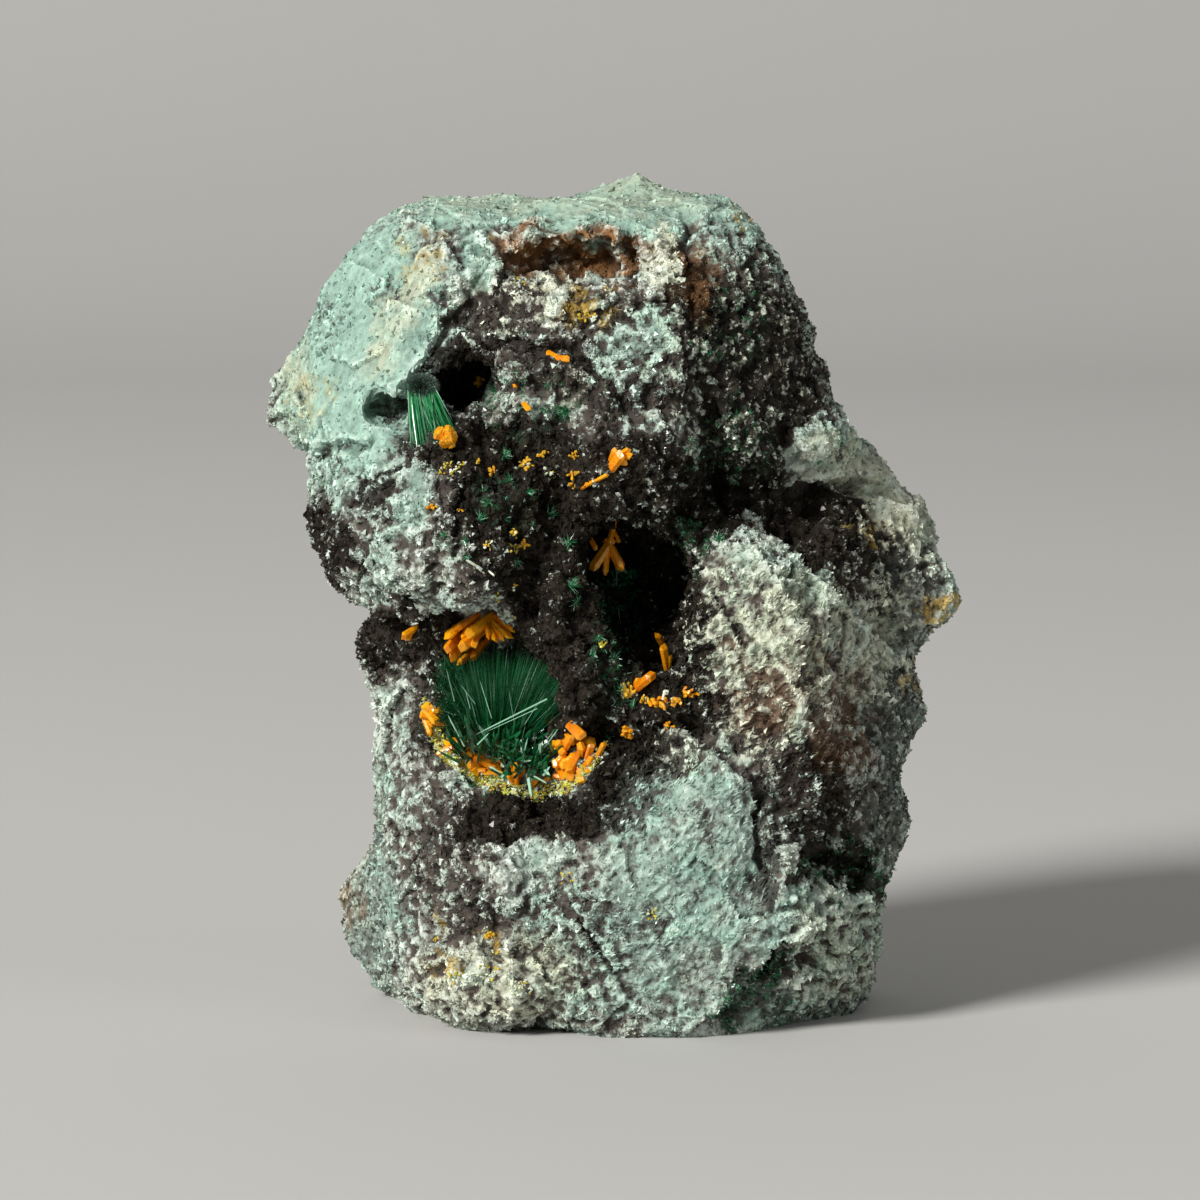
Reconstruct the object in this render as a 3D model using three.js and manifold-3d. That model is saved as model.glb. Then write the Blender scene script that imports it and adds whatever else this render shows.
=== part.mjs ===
// Kasolite with malachite: a small mineral specimen that stands on its own broken base.
// A weathered copper-ore stone carries a pocket, a deep vug and two small holes. Green malachite needles
// and orange kasolite blades grow in them and over the brown oxide crust between them.
// Millimetres, +Z up. The front of the stone faces -Y, +X is to its right, and the origin is on the
// surface that it stands on, under the middle of the stone.
import * as THREE from "three";
import { ImprovedNoise } from "three/addons/math/ImprovedNoise.js";
import { mergeVertices } from "three/addons/utils/BufferGeometryUtils.js";
import Module from "manifold-3d";

const wasm = await Module();
wasm.setup();

// Driving dimensions of the stone
const FRONT_DEPTH = 8.2; // from the rim of the stone forward to its front face, before the relief
const BACK_DEPTH = 9.8; // from the rim back to its rear face
const MIDDLE_HEIGHT = 18; // height of the middle of the outline
const BOXINESS = 3.2; // 2 is an ellipsoid, higher is squarer
const FRONT_SHARE = 0.3; // draws the icosphere's points towards the front face, where the relief is
const COARSE_CRAGS = 0.66; // height of the ridges and pits that lie about 5 mm apart
const FINE_CRAGS = 0.46; // and of those about 2 mm apart
const BODY_DETAIL = 12; // edge splits of the icosphere that the stone is shaped from
const CAVITY_DETAIL = 3; // the same for a cavity
const CAVITY_CRAGS = 0.4; // height of the roughness inside a cavity
const BLOCK_CORNERS = 2.6; // 2 makes the blocks of the front oval, higher makes them squarer
const BLOCK_EDGE = 1.12; // where a block's edge ends, as a share of its half size

// Outline of the stone's main body seen from the front, as x and z, anticlockwise from its right side
const OUTLINE = [
  [12.6, 16.9], [12.4, 19.3], [11.4, 21.6], [9.6, 24.2], [8.9, 26.4], [7.8, 29.3], [6.6, 32.2],
  [5.3, 33.7], [3.4, 34.1], [0.6, 34.2], [-2.0, 34.0], [-6.6, 33.8], [-8.7, 33.4], [-10.9, 31.4],
  [-12.2, 29.0], [-12.7, 27.2], [-12.6, 25.4], [-12.2, 23.5], [-12.2, 20.4], [-11.6, 18.4],
  [-10.4, 17.0], [-9.9, 14.4], [-9.4, 11.4], [-9.6, 8.0], [-9.9, 5.0], [-9.5, 2.4], [-8.4, 0.0],
  [-6.8, -2.2], [-3.0, -3.2], [1.0, -3.4], [6.5, -3.0], [9.6, -1.2], [11.0, 1.6], [11.4, 5.4],
  [11.9, 8.6], [12.3, 12.2],
];

// Broken faces that cut the stone flat: a point on the face, the way it looks out, and the heights
// between which it cuts where it doesn't run over the whole stone
const BROKEN_FACES = {
  upperLeft: { at: [-9.0, -8.8, 25.0], out: [-0.72, -0.55, 0.42], from: 21.8, to: 60 },
  upperRight: { at: [4.6, -7.6, 30.2], out: [0.8, -0.6, 0.08], from: 20.5, to: 60 },
  topFront: { at: [0.0, -6.6, 32.6], out: [0.05, -0.62, 0.78], from: 20, to: 60 },
  topLeft: { at: [-9.2, 0.0, 33.0], out: [-0.6, -0.1, 0.8], from: 20, to: 60 },
  topBack: { at: [0.0, 4.0, 33.8], out: [-0.12, 0.4, 0.91], from: 20, to: 60 },
  rightFlank: { at: [12.4, -2.4, 9.0], out: [0.87, -0.49, 0.05], from: -20, to: 60 },
  lowerRightUnder: { at: [5.3, -10.4, 1.9], out: [0.5, -0.5, -0.7], from: -20, to: 12 },
  leftWaist: { at: [-9.6, -4.4, 12.0], out: [-0.8, -0.6, 0.0], from: -20, to: 18 },
  backMiddle: { at: [1.0, 9.6, 16.0], out: [0.16, 0.98, 0.1], from: -20, to: 60 },
  backLeft: { at: [-7.4, 7.4, 18.0], out: [-0.66, 0.74, 0.14], from: -20, to: 60 },
  backRight: { at: [8.6, 7.2, 15.0], out: [0.7, 0.7, -0.1], from: -20, to: 60 },
  backLow: { at: [0.5, 8.6, 3.0], out: [-0.12, 0.9, -0.42], from: -20, to: 60 },
  backHigh: { at: [-1.0, 7.0, 27.4], out: [0.1, 0.86, 0.5], from: -20, to: 60 },
};
const FACE_FLATNESS = 0.86; // 1 cuts a face dead flat
const FACE_FADE = 1.6; // millimetres over which a face that stops at a height fades out

// Blocks and hollows of the front face: middle x and z, half width and half height, turn in degrees,
// how far it stands out (negative for a hollow), how that grows with x and with z, and how much of it
// is flat before it falls off
const FRONT_RELIEF = {
  leftBlock: { x: -7.6, z: 21.1, half: [4.6, 3.9], turn: 10, out: 2.7, grow: [0.1, -0.14], flat: 0.72 },
  browLump: { x: 0.8, z: 23.7, half: [2.8, 2.6], turn: -8, out: 2.6, grow: [-0.1, 0.1], flat: 0.62 },
  oxideKnoll: { x: -1.8, z: 26.8, half: [3.2, 2.0], turn: 10, out: 1.5, grow: [0, -0.1], flat: 0.6 },
  creamKnob: { x: -2.3, z: 29.9, half: [1.6, 1.3], turn: 0, out: 1.6, grow: [0, 0], flat: 0.5 },
  upperRightMass: { x: 2.0, z: 28.6, half: [2.9, 3.2], turn: 8, out: 2.0, grow: [0.1, 0], flat: 0.66 },
  slopeRib: { x: 5.4, z: 26.6, half: [1.4, 3.9], turn: 16, out: 1.3, grow: [0, 0], flat: 0.4 },
  slopeGully: { x: 4.0, z: 25.0, half: [0.9, 3.5], turn: 10, out: -1.3, grow: [0, 0], flat: 0.4 },
  browGully: { x: -4.6, z: 23.7, half: [1.1, 3.0], turn: -14, out: -0.9, grow: [0, 0], flat: 0.4 },
  saddle: { x: 6.6, z: 21.9, half: [4.4, 1.7], turn: -16, out: -2.4, grow: [0, 0], flat: 0.5 },
  shoulder: { x: 7.0, z: 14.6, half: [5.2, 6.4], turn: -18, out: 2.4, grow: [0.2, 0.05], flat: 0.76 },
  shoulderStep: { x: 5.2, z: 12.6, half: [2.4, 2.2], turn: -30, out: 0.9, grow: [0, 0], flat: 0.5 },
  velvetColumn: { x: -1.5, z: 16.2, half: [1.9, 4.8], turn: -7, out: 1.5, grow: [0, 0], flat: 0.55 },
  pocketHollow: { x: -4.9, z: 13.5, half: [3.5, 3.9], turn: 12, out: -1.6, grow: [0, 0], flat: 0.5 },
  underRimBand: { x: -0.4, z: 9.9, half: [4.6, 1.2], turn: 20, out: -1.1, grow: [0, 0], flat: 0.4 },
  leftWaistStep: { x: -9.4, z: 13.6, half: [1.8, 3.6], turn: 0, out: -1.6, grow: [0, 0], flat: 0.4 },
  lowerFront: { x: 2.9, z: 4.6, half: [5.6, 7.4], turn: 6, out: 2.9, grow: [0.0, -0.05], flat: 0.84 },
  frontCrack: { x: 6.5, z: 7.4, half: [0.6, 2.3], turn: 4, out: -1.1, grow: [0, 0], flat: 0.3 },
  rubblyCorner: { x: 8.9, z: 5.0, half: [2.6, 2.2], turn: 0, out: 2.2, grow: [0, 0], flat: 0.5 },
  rubblyKnob: { x: 7.6, z: 9.9, half: [1.7, 1.2], turn: 30, out: 3.1, grow: [0, 0], flat: 0.4 },
  lowerLeftKnob: { x: -4.2, z: 6.6, half: [1.9, 1.2], turn: 14, out: 2.9, grow: [0, 0], flat: 0.4 },
  lowerLeftLedge: { x: -4.9, z: 1.6, half: [3.6, 1.7], turn: -6, out: 3.0, grow: [0, 0], flat: 0.6 },
  lowerLeft: { x: -5.6, z: 3.6, half: [3.6, 5.8], turn: -6, out: 2.0, grow: [0.14, 0.02], flat: 0.7 },
};

// Bulges round the sides and on top: middle, reach, and the way and distance that the rock swells out
const BULGES = {
  leftKnob: { at: [-12.7, 0.6, 25.5], reach: 2.6, push: [-2.2, -0.2, -0.6] },
  topNub: { at: [0.9, 0.5, 34.4], reach: 2.2, push: [0, 0, 0.6] },
  paleLump: { at: [9.0, -3.4, 24.4], reach: 2.7, push: [0.7, -1.9, 0.2] },
  rightRidge: { at: [11.4, 1.6, 20.8], reach: 4.2, push: [1.8, -1.2, 0.4] },
  rightNub: { at: [12.6, 0.2, 17.2], reach: 3.2, push: [2.0, -0.9, 0] },
  rightHip: { at: [12.4, 2.0, 12.0], reach: 4.0, push: [0.9, 0, 0] },
  rearLeftFoot: { at: [-9.6, 3.2, 2.2], reach: 4.6, push: [-2.5, 0.2, 0] },
  backSpine: { at: [2.0, 9.6, 20.0], reach: 7.0, push: [0, 1.9, 0] },
  backShoulder: { at: [-6.0, 7.4, 24.6], reach: 5.0, push: [-0.8, 1.2, 0.2] },
  rightFlankRib: { at: [12.0, -3.0, 7.0], reach: 4.0, push: [0.9, -0.5, 0] },
  rightFlankLedge: { at: [11.6, 4.0, 12.0], reach: 3.6, push: [0.9, 0.4, 0] },
  backHeel: { at: [-3.0, 8.6, 7.0], reach: 5.0, push: [0, 1.0, 0] },
};

// Cavities cut into the stone: middle, half sizes and noise seed
const CAVITIES = {
  pocket: { at: [-4.6, -8.0, 13.5], half: [3.0, 3.8, 3.7], seed: 71 },
  pocketTail: { at: [-0.4, -9.8, 12.2], half: [1.8, 2.4, 1.1], seed: 73 },
  vug: { at: [1.1, -7.0, 18.3], half: [1.75, 5.6, 3.1], seed: 79 },
  vugFoot: { at: [1.9, -9.0, 16.0], half: [1.3, 3.6, 1.6], seed: 83 },
  topNiche: { at: [-1.3, -7.6, 31.6], half: [3.6, 4.2, 1.3], seed: 89 },
  sheafHole: { at: [-5.6, -8.6, 26.5], half: [1.5, 4.2, 1.3], seed: 97 },
  sheafSideHole: { at: [-9.1, -6.8, 25.7], half: [0.9, 1.8, 0.7], seed: 101 },
};

// The lower rim of the pocket, as x and z from its left end to its right end, and the knots of its crust
const RIM = [
  [-7.7, 13.3], [-7.1, 11.9], [-6.0, 10.8], [-4.6, 10.1], [-3.0, 9.9], [-1.7, 10.3], [-0.8, 11.1],
  [-0.3, 12.2],
];
const RIM_KNOTS = 11;
const RIM_LOOKS = [0, 0.6, 1.2]; // how far down the lip is looked for

// Shapes of the crystals: sides of a blade and of a needle, how flat a blade is, and how each narrows
const BLADE_SIDES = 4;
const BLADE_FLATNESS = 0.6; // a blade's thickness as a share of its width
const BLADE_SHOULDER = { at: 0.8, wide: 0.94, tip: 0.45 }; // as shares of its length and width
const NEEDLE_SIDES = 5;
const NEEDLE_SHOULDER = { at: 0.8, wide: 0.75 };
const SEAT_GAP = 0.08; // clearance between a crystal and what it sits on
const GOLDEN_ANGLE = Math.PI * (3 - Math.sqrt(5)); // spreads directions evenly round a middle

// Kasolite clusters: where they grow on the front, how deep they root, which way they face, and their blades
const KASOLITE = {
  kasolite_ledge_cluster: {
    x: -5.0, z: 16.9, sink: 0.3, facing: [0.2, -0.85, -0.5], count: 9, length: 1.8, width: 0.64,
    spread: 1.0, seed: 2, root: [1.4, 0.7, 0.6],
  },
  kasolite_waist_blade: {
    x: -8.3, z: 16.6, sink: 0.1, facing: [0.7, -0.6, 0.45], count: 2, length: 0.9, width: 0.4,
    spread: 0.2, seed: 4, root: [0.3, 0.3, 0.25],
  },
  kasolite_vug_blades: {
    x: 0.3, z: 20.5, sink: -0.2, facing: [0.1, -0.6, -0.8], count: 4, length: 2.3, width: 0.55,
    spread: 0.5, seed: 10, root: [0.5, 0.6, 0.5],
  },
  kasolite_lip_blade: {
    x: 2.3, z: 15.3, sink: 0.1, facing: [-0.1, -0.45, 0.9], count: 3, length: 1.7, width: 0.5,
    spread: 0.25, seed: 12, root: [0.4, 0.4, 0.35],
  },
  kasolite_lip_prism: {
    x: 1.4, z: 14.3, sink: 0.1, facing: [0.55, -0.7, 0.45], count: 3, length: 1.1, width: 0.6,
    spread: 0.25, seed: 14, root: [0.4, 0.35, 0.35],
  },
  kasolite_lip_crust: {
    x: 3.2, z: 13.6, sink: 0.05, facing: [0.1, -0.95, 0.3], count: 5, length: 0.85, width: 0.45,
    spread: 1.1, seed: 16, root: [0.9, 0.4, 0.4],
  },
  kasolite_brow_tuft: {
    x: 0.55, z: 24.0, sink: 0.05, facing: [0.2, -0.9, 0.25], count: 5, length: 1.0, width: 0.42,
    spread: 0.9, seed: 18, root: [0.45, 0.35, 0.35],
  },
  kasolite_knoll_blade: {
    x: -2.0, z: 27.7, sink: 0.05, facing: [0.1, -0.8, 0.55], count: 3, length: 0.8, width: 0.45,
    spread: 0.6, seed: 20, root: [0.35, 0.3, 0.3],
  },
  kasolite_saddle_blade: {
    x: -3.4, z: 26.0, sink: 0.05, facing: [-0.25, -0.6, 0.75], count: 2, length: 1.0, width: 0.42,
    spread: 0.25, seed: 22, root: [0.3, 0.3, 0.3],
  },
};

// Malachite sprays, in the same terms
const MALACHITE = {
  malachite_pocket_spray: {
    x: -4.6, z: 12.8, sink: 0.4, facing: [0.08, -0.66, 0.62], count: 34, length: 3.9, width: 0.36,
    spread: 1.05, seed: 24, root: [1.6, 1.1, 1.3],
  },
  malachite_vug_crystals: {
    x: 0.6, z: 17.4, sink: 0.1, facing: [0.05, -0.85, 0.3], count: 7, length: 1.5, width: 0.6,
    spread: 0.9, seed: 26, root: [0.6, 0.5, 0.8],
  },
};

// The malachite sheaf: where its head and its kasolite cap sit, the size of the head, and its fibres
const SHEAF = {
  x: -7.6, z: 26.6, head: [0.95, 0.95, 0.8], fibres: 11, spread: 0.72, length: 2.6, width: 0.5,
};
const SHEAF_DOWN = [0.22, -0.35, -1];
const SHEAF_CAP = { x: -6.6, z: 24.6, core: 0.5, blades: 5, length: 0.75, width: 0.5 };

const noise = new ImprovedNoise();

// Folded Perlin noise in three octaves, from about -1 to 1, with creases like broken rock
function cragginess(point, size, seed) {
  let sum = 0;
  let share = 0.6;
  let scale = 1 / size;
  for (let octave = 0; octave < 3; octave++) {
    const value = noise.noise(point.x * scale + seed, point.y * scale + seed * 0.7, point.z * scale);
    sum += share * (1 - 2.4 * Math.abs(value));
    share *= 0.5;
    scale *= 2.1;
  }
  return sum - 0.5;
}

// A repeatable sequence of numbers from 0 to 1
function sequence(seed) {
  let state = seed * 2654435761;
  return () => {
    state = (state + 0x6d2b79f5) | 0;
    let mixed = Math.imul(state ^ (state >>> 15), 1 | state);
    mixed = (mixed + Math.imul(mixed ^ (mixed >>> 7), 61 | mixed)) ^ mixed;
    return ((mixed ^ (mixed >>> 14)) >>> 0) / 4294967296;
  };
}

// A closed three.js geometry as a solid that can be joined and cut
function solidOf(geometry) {
  const bare = geometry.clone();
  bare.deleteAttribute("normal");
  bare.deleteAttribute("uv");
  const merged = mergeVertices(bare, 1e-5);
  const corners = Array.from(merged.index.array);
  const kept = [];
  for (let i = 0; i < corners.length; i += 3) {
    const [a, b, c] = corners.slice(i, i + 3);
    if (a !== b && b !== c && a !== c) kept.push(a, b, c);
  }
  const vertProperties = new Float32Array(merged.attributes.position.array);
  return new wasm.Manifold(new wasm.Mesh({ numProp: 3, vertProperties, triVerts: new Uint32Array(kept) }));
}

function geometryOf(solid) {
  const mesh = solid.getMesh();
  const geometry = new THREE.BufferGeometry();
  geometry.setAttribute("position", new THREE.BufferAttribute(new Float32Array(mesh.vertProperties), 3));
  geometry.setIndex(new THREE.BufferAttribute(new Uint32Array(mesh.triVerts), 1));
  geometry.computeVertexNormals();
  return geometry;
}

// Chips that a cut leaves loose are dropped: only the largest body is kept
function largestBody(solid) {
  return solid.decompose().sort((a, b) => b.volume() - a.volume())[0];
}

// Distance from the middle of the outline to its edge, for any angle in the XZ plane
const outlineMiddle = new THREE.Vector2(0, MIDDLE_HEIGHT);
const outlineReach = (() => {
  const curve = new THREE.CatmullRomCurve3(
    OUTLINE.map(([x, z]) => new THREE.Vector3(x, 0, z)), true, "centripetal");
  const steps = curve.getPoints(720).map((p) => {
    const dx = p.x - outlineMiddle.x;
    const dz = p.z - outlineMiddle.y;
    return { angle: Math.atan2(dz, dx), reach: Math.hypot(dx, dz) };
  });
  steps.sort((a, b) => a.angle - b.angle);
  return (angle) => {
    let after = steps.findIndex((s) => s.angle >= angle);
    if (after < 0) after = 0;
    const before = steps[(after + steps.length - 1) % steps.length];
    const next = steps[after];
    const span = (next.angle - before.angle + 2 * Math.PI) % (2 * Math.PI) || 1;
    const share = ((angle - before.angle + 2 * Math.PI) % (2 * Math.PI)) / span;
    return THREE.MathUtils.lerp(before.reach, next.reach, Math.min(1, share));
  };
})();

// How far the blocks and hollows move the front face forward at x, z. Where blocks meet, the one that
// stands out more wins, with a soft crease between them, and the hollows add up.
function reliefAt(x, z) {
  let blocks = 0;
  let hollows = 0;
  for (const { x: midX, z: midZ, half, turn, out, grow, flat } of Object.values(FRONT_RELIEF)) {
    const angle = THREE.MathUtils.degToRad(turn);
    const dx = x - midX;
    const dz = z - midZ;
    const across = Math.abs(dx * Math.cos(angle) + dz * Math.sin(angle)) / half[0];
    const along = Math.abs(dz * Math.cos(angle) - dx * Math.sin(angle)) / half[1];
    const reach = (across ** BLOCK_CORNERS + along ** BLOCK_CORNERS) ** (1 / BLOCK_CORNERS);
    const share = 1 - THREE.MathUtils.smoothstep(reach, flat, BLOCK_EDGE);
    const moved = share * (out + grow[0] * dx + grow[1] * dz);
    if (moved > 0) blocks += moved ** 4;
    else hollows += moved;
  }
  return blocks ** 0.25 + hollows;
}

// The main body: an icosphere drawn out to the outline, with its relief, broken flat and roughened
function stoneBody() {
  const geometry = new THREE.IcosahedronGeometry(1, BODY_DETAIL);
  const points = geometry.attributes.position;
  const faces = Object.values(BROKEN_FACES).map(({ at, out, from, to }) => {
    const normal = new THREE.Vector3(...out).normalize();
    const plane = new THREE.Plane().setFromNormalAndCoplanarPoint(normal, new THREE.Vector3(...at));
    return { plane, from, to };
  });
  for (let i = 0; i < points.count; i++) {
    const way = new THREE.Vector3().fromBufferAttribute(points, i);
    way.y -= FRONT_SHARE;
    way.normalize();
    const side = Math.hypot(way.x, way.z);
    const depth = Math.abs(way.y);
    const size = (side ** BOXINESS + depth ** BOXINESS) ** (1 / BOXINESS);
    const angle = Math.atan2(way.z, way.x);
    const reach = outlineReach(angle) * (side / size);
    const point = new THREE.Vector3(reach * Math.cos(angle), 0, MIDDLE_HEIGHT + reach * Math.sin(angle));
    if (way.y < 0) {
      const onFace = THREE.MathUtils.smoothstep(depth / size, 0.3, 0.85);
      point.y = -FRONT_DEPTH * (depth / size) - reliefAt(point.x, point.z) * onFace;
    } else {
      point.y = BACK_DEPTH * (depth / size);
    }
    for (const { plane, from, to } of faces) {
      const past = Math.max(0, plane.distanceToPoint(point));
      const low = THREE.MathUtils.smoothstep(point.z, from - FACE_FADE, from + FACE_FADE);
      const high = THREE.MathUtils.smoothstep(point.z, to - FACE_FADE, to + FACE_FADE);
      point.addScaledVector(plane.normal, -FACE_FLATNESS * past * low * (1 - high));
    }
    for (const { at, reach: radius, push } of Object.values(BULGES)) {
      const near = 1 - THREE.MathUtils.smoothstep(point.distanceTo(new THREE.Vector3(...at)), 0, radius);
      point.addScaledVector(new THREE.Vector3(...push), near);
    }
    const crags = COARSE_CRAGS * cragginess(point, 5.0, 1) + FINE_CRAGS * cragginess(point, 2.1, 2);
    point.addScaledVector(way, crags);
    points.setXYZ(i, point.x, point.y, point.z);
  }
  return solidOf(geometry);
}

// The hollow that a cavity leaves: a craggy ellipsoid
function hollow({ at, half, seed }) {
  const geometry = new THREE.IcosahedronGeometry(1, CAVITY_DETAIL);
  const points = geometry.attributes.position;
  for (let i = 0; i < points.count; i++) {
    const way = new THREE.Vector3().fromBufferAttribute(points, i);
    const point = way.clone().multiply(new THREE.Vector3(...half)).add(new THREE.Vector3(...at));
    point.addScaledVector(way, CAVITY_CRAGS * cragginess(point, 2.4, seed));
    points.setXYZ(i, point.x, point.y, point.z);
  }
  return solidOf(geometry);
}

// The whole stone: its cavities are cut, and its foot is broken off flat
function makeStone() {
  let whole = stoneBody();
  for (const cavity of Object.values(CAVITIES)) whole = whole.subtract(hollow(cavity));
  const ground = new THREE.BoxGeometry(80, 80, 20).translate(0, 0, -10);
  return largestBody(whole.subtract(solidOf(ground)));
}

const stone = makeStone();
const stoneGeometry = geometryOf(stone);
const stoneMesh = new THREE.Mesh(
  stoneGeometry, new THREE.MeshStandardMaterial({ color: 0x8fa59a, roughness: 0.95, metalness: 0 }));
stoneMesh.name = "stone";

// The first point of the stone that a straight look from the front meets at x, z
function surfaceAt(x, z) {
  const ray = new THREE.Raycaster(new THREE.Vector3(x, -40, z), new THREE.Vector3(0, 1, 0));
  return ray.intersectObject(stoneMesh)[0].point;
}

// A kasolite blade along +Z: a flattened prism with a chisel tip
function blade(length, width) {
  const r = width / 2;
  const { at, wide, tip } = BLADE_SHOULDER;
  const profile = [[0, 0], [r, 0], [r * wide, length * at], [r * tip, length], [0, length]];
  const geometry = new THREE.LatheGeometry(profile.map(([x, y]) => new THREE.Vector2(x, y)), BLADE_SIDES);
  return geometry.rotateX(Math.PI / 2).scale(1, BLADE_FLATNESS, 1);
}

// A malachite needle along +Z: five-sided, tapering to a point
function needle(length, width) {
  const r = width / 2;
  const { at, wide } = NEEDLE_SHOULDER;
  const profile = [[0, 0], [r, 0], [r * wide, length * at], [0, length]];
  const geometry = new THREE.LatheGeometry(profile.map(([x, y]) => new THREE.Vector2(x, y)), NEEDLE_SIDES);
  return geometry.rotateX(Math.PI / 2);
}

// Turns a crystal that stands along +Z to lie along a direction, spun about its own length
function pointed(geometry, root, direction, spin) {
  const along = new THREE.Vector3(...direction).normalize();
  geometry.rotateZ(spin);
  geometry.applyQuaternion(new THREE.Quaternion().setFromUnitVectors(new THREE.Vector3(0, 0, 1), along));
  return geometry.translate(...root);
}

// Seats a cluster on the stone: what would lie inside the stone is cut away, with a small clearance
function seated(cluster, facing) {
  const away = new THREE.Vector3(...facing).normalize().multiplyScalar(SEAT_GAP);
  return largestBody(cluster.subtract(stone).subtract(stone.translate([away.x, away.y, away.z])));
}

// A spray of crystals from a root: they lean away from the way that it faces by up to a spread
function spray({ x, z, sink, facing, count, length, width, spread, seed, root }, shape) {
  const random = sequence(seed);
  const main = new THREE.Vector3(...facing).normalize();
  const base = surfaceAt(x, z).addScaledVector(main, -sink);
  const side = new THREE.Vector3(0, 0, 1).cross(main).normalize();
  const up = main.clone().cross(side);
  const mound = new THREE.IcosahedronGeometry(1, root[0] > 1 ? 1 : 0).scale(...root);
  let cluster = solidOf(mound.translate(base.x, base.y, base.z));
  for (let i = 0; i < count; i++) {
    const turn = (i + random() * 0.6) * GOLDEN_ANGLE;
    const lean = spread * Math.sqrt((i + 0.5) / count);
    const direction = main.clone()
      .addScaledVector(side, Math.cos(turn) * lean)
      .addScaledVector(up, Math.sin(turn) * lean);
    const foot = base.clone()
      .addScaledVector(side, Math.cos(turn) * lean * root[0] * 0.8)
      .addScaledVector(up, Math.sin(turn) * lean * root[2] * 0.8);
    const long = length * (0.72 + 0.4 * random());
    const wide = width * (0.8 + 0.4 * random());
    const one = pointed(shape(long, wide), foot.toArray(), direction.toArray(), random() * Math.PI);
    cluster = cluster.add(solidOf(one));
  }
  return seated(cluster, facing);
}

// The foremost point of the stone at x, z or just below it, which is where the lip of the pocket is
function lipAt(x, z) {
  const looks = RIM_LOOKS.map((drop) => surfaceAt(x, z - drop).y);
  return new THREE.Vector3(x, Math.min(...looks), z);
}

// The crust along the lower rim of the pocket: a crescent of knots with blades standing on them
function rimCrust() {
  const random = sequence(6);
  const rim = new THREE.CatmullRomCurve3(RIM.map(([x, z]) => new THREE.Vector3(x, 0, z)));
  let crust = null;
  for (let i = 0; i <= RIM_KNOTS; i++) {
    const share = i / RIM_KNOTS;
    const place = rim.getPointAt(share);
    const base = lipAt(place.x, place.z);
    base.y += 0.15;
    const towardsEnds = Math.abs(2 * share - 1);
    const knot = new THREE.IcosahedronGeometry(1, 0).rotateY(random() * Math.PI);
    const knotSolid = solidOf(knot.scale(0.8, 0.62, 0.5 + 0.3 * towardsEnds).translate(...base));
    crust = crust ? crust.add(knotSolid) : knotSolid;
    const direction = [1.6 * (random() - 0.5), -0.8, 0.5 + 1.4 * (random() - 0.5)];
    const one = blade((1.1 + 0.9 * towardsEnds) * (0.8 + 0.4 * random()), 0.5 + 0.2 * towardsEnds);
    crust = crust.add(solidOf(pointed(one, base.toArray(), direction, random() * Math.PI)));
  }
  return seated(crust, [0, -1, 0.4]);
}

const kasolite = new THREE.MeshStandardMaterial({ color: 0xf08a12, roughness: 0.35, metalness: 0 });
const malachite = new THREE.MeshStandardMaterial({ color: 0x0f6b3c, roughness: 0.3, metalness: 0 });

// The four small moves that open a clearance round a crystal
const NUDGES = [[0, -SEAT_GAP, 0], [0, SEAT_GAP, 0], [0, 0, -SEAT_GAP], [0, 0, SEAT_GAP]];

// The malachite sheaf by the small hole: parallel fibres under a rounded head, splayed at the lower end
function malachiteSheaf() {
  const random = sequence(28);
  const top = surfaceAt(SHEAF.x, SHEAF.z);
  const down = new THREE.Vector3(...SHEAF_DOWN);
  const head = new THREE.IcosahedronGeometry(1, 1).scale(...SHEAF.head);
  let sheaf = solidOf(head.translate(top.x, top.y, top.z));
  for (let i = 0; i < SHEAF.fibres; i++) {
    const turn = i * GOLDEN_ANGLE;
    const out = SHEAF.spread * Math.sqrt((i + 0.5) / SHEAF.fibres);
    const foot = [top.x + Math.cos(turn) * out, top.y + Math.sin(turn) * out, top.z + 0.1];
    const splay = [Math.cos(turn) * out * 0.4, Math.sin(turn) * out * 0.3, 0];
    const direction = down.clone().add(new THREE.Vector3(...splay)).toArray();
    const fibre = needle(SHEAF.length + 0.7 * random(), SHEAF.width);
    sheaf = sheaf.add(solidOf(pointed(fibre, foot, direction, random())));
  }
  return seated(sheaf, [-0.2, -0.95, 0.2]);
}

// The kasolite that grew on the lower end of the sheaf, in a cap of stubby blades
function sheafCap() {
  const random = sequence(30);
  const middle = surfaceAt(SHEAF_CAP.x, SHEAF_CAP.z).add(new THREE.Vector3(0, -0.2, 0));
  const core = new THREE.IcosahedronGeometry(SHEAF_CAP.core, 0);
  let cap = solidOf(core.translate(middle.x, middle.y, middle.z));
  for (let i = 0; i < SHEAF_CAP.blades; i++) {
    const turn = i * 2 * Math.PI / SHEAF_CAP.blades;
    const direction = [Math.cos(turn) * 0.8, -0.5 - random(), Math.sin(turn) * 0.8];
    const one = blade(SHEAF_CAP.length, SHEAF_CAP.width);
    cap = cap.add(solidOf(pointed(one, middle.toArray(), direction, random() * Math.PI)));
  }
  return seated(cap, [0, -1, 0]);
}

function namedMesh(name, solid, material) {
  const mesh = new THREE.Mesh(geometryOf(solid), material);
  mesh.name = name;
  return mesh;
}

const specimen = new THREE.Group();
specimen.add(stoneMesh);

const kasoliteSolids = { kasolite_rim_crust: rimCrust(), kasolite_sheaf_cap: sheafCap() };
for (const [name, growth] of Object.entries(KASOLITE)) kasoliteSolids[name] = spray(growth, blade);
const malachiteSolids = { malachite_sheaf: malachiteSheaf() };
for (const [name, growth] of Object.entries(MALACHITE)) malachiteSolids[name] = spray(growth, needle);

for (const [name, solid] of Object.entries(kasoliteSolids)) specimen.add(namedMesh(name, solid, kasolite));

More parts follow.
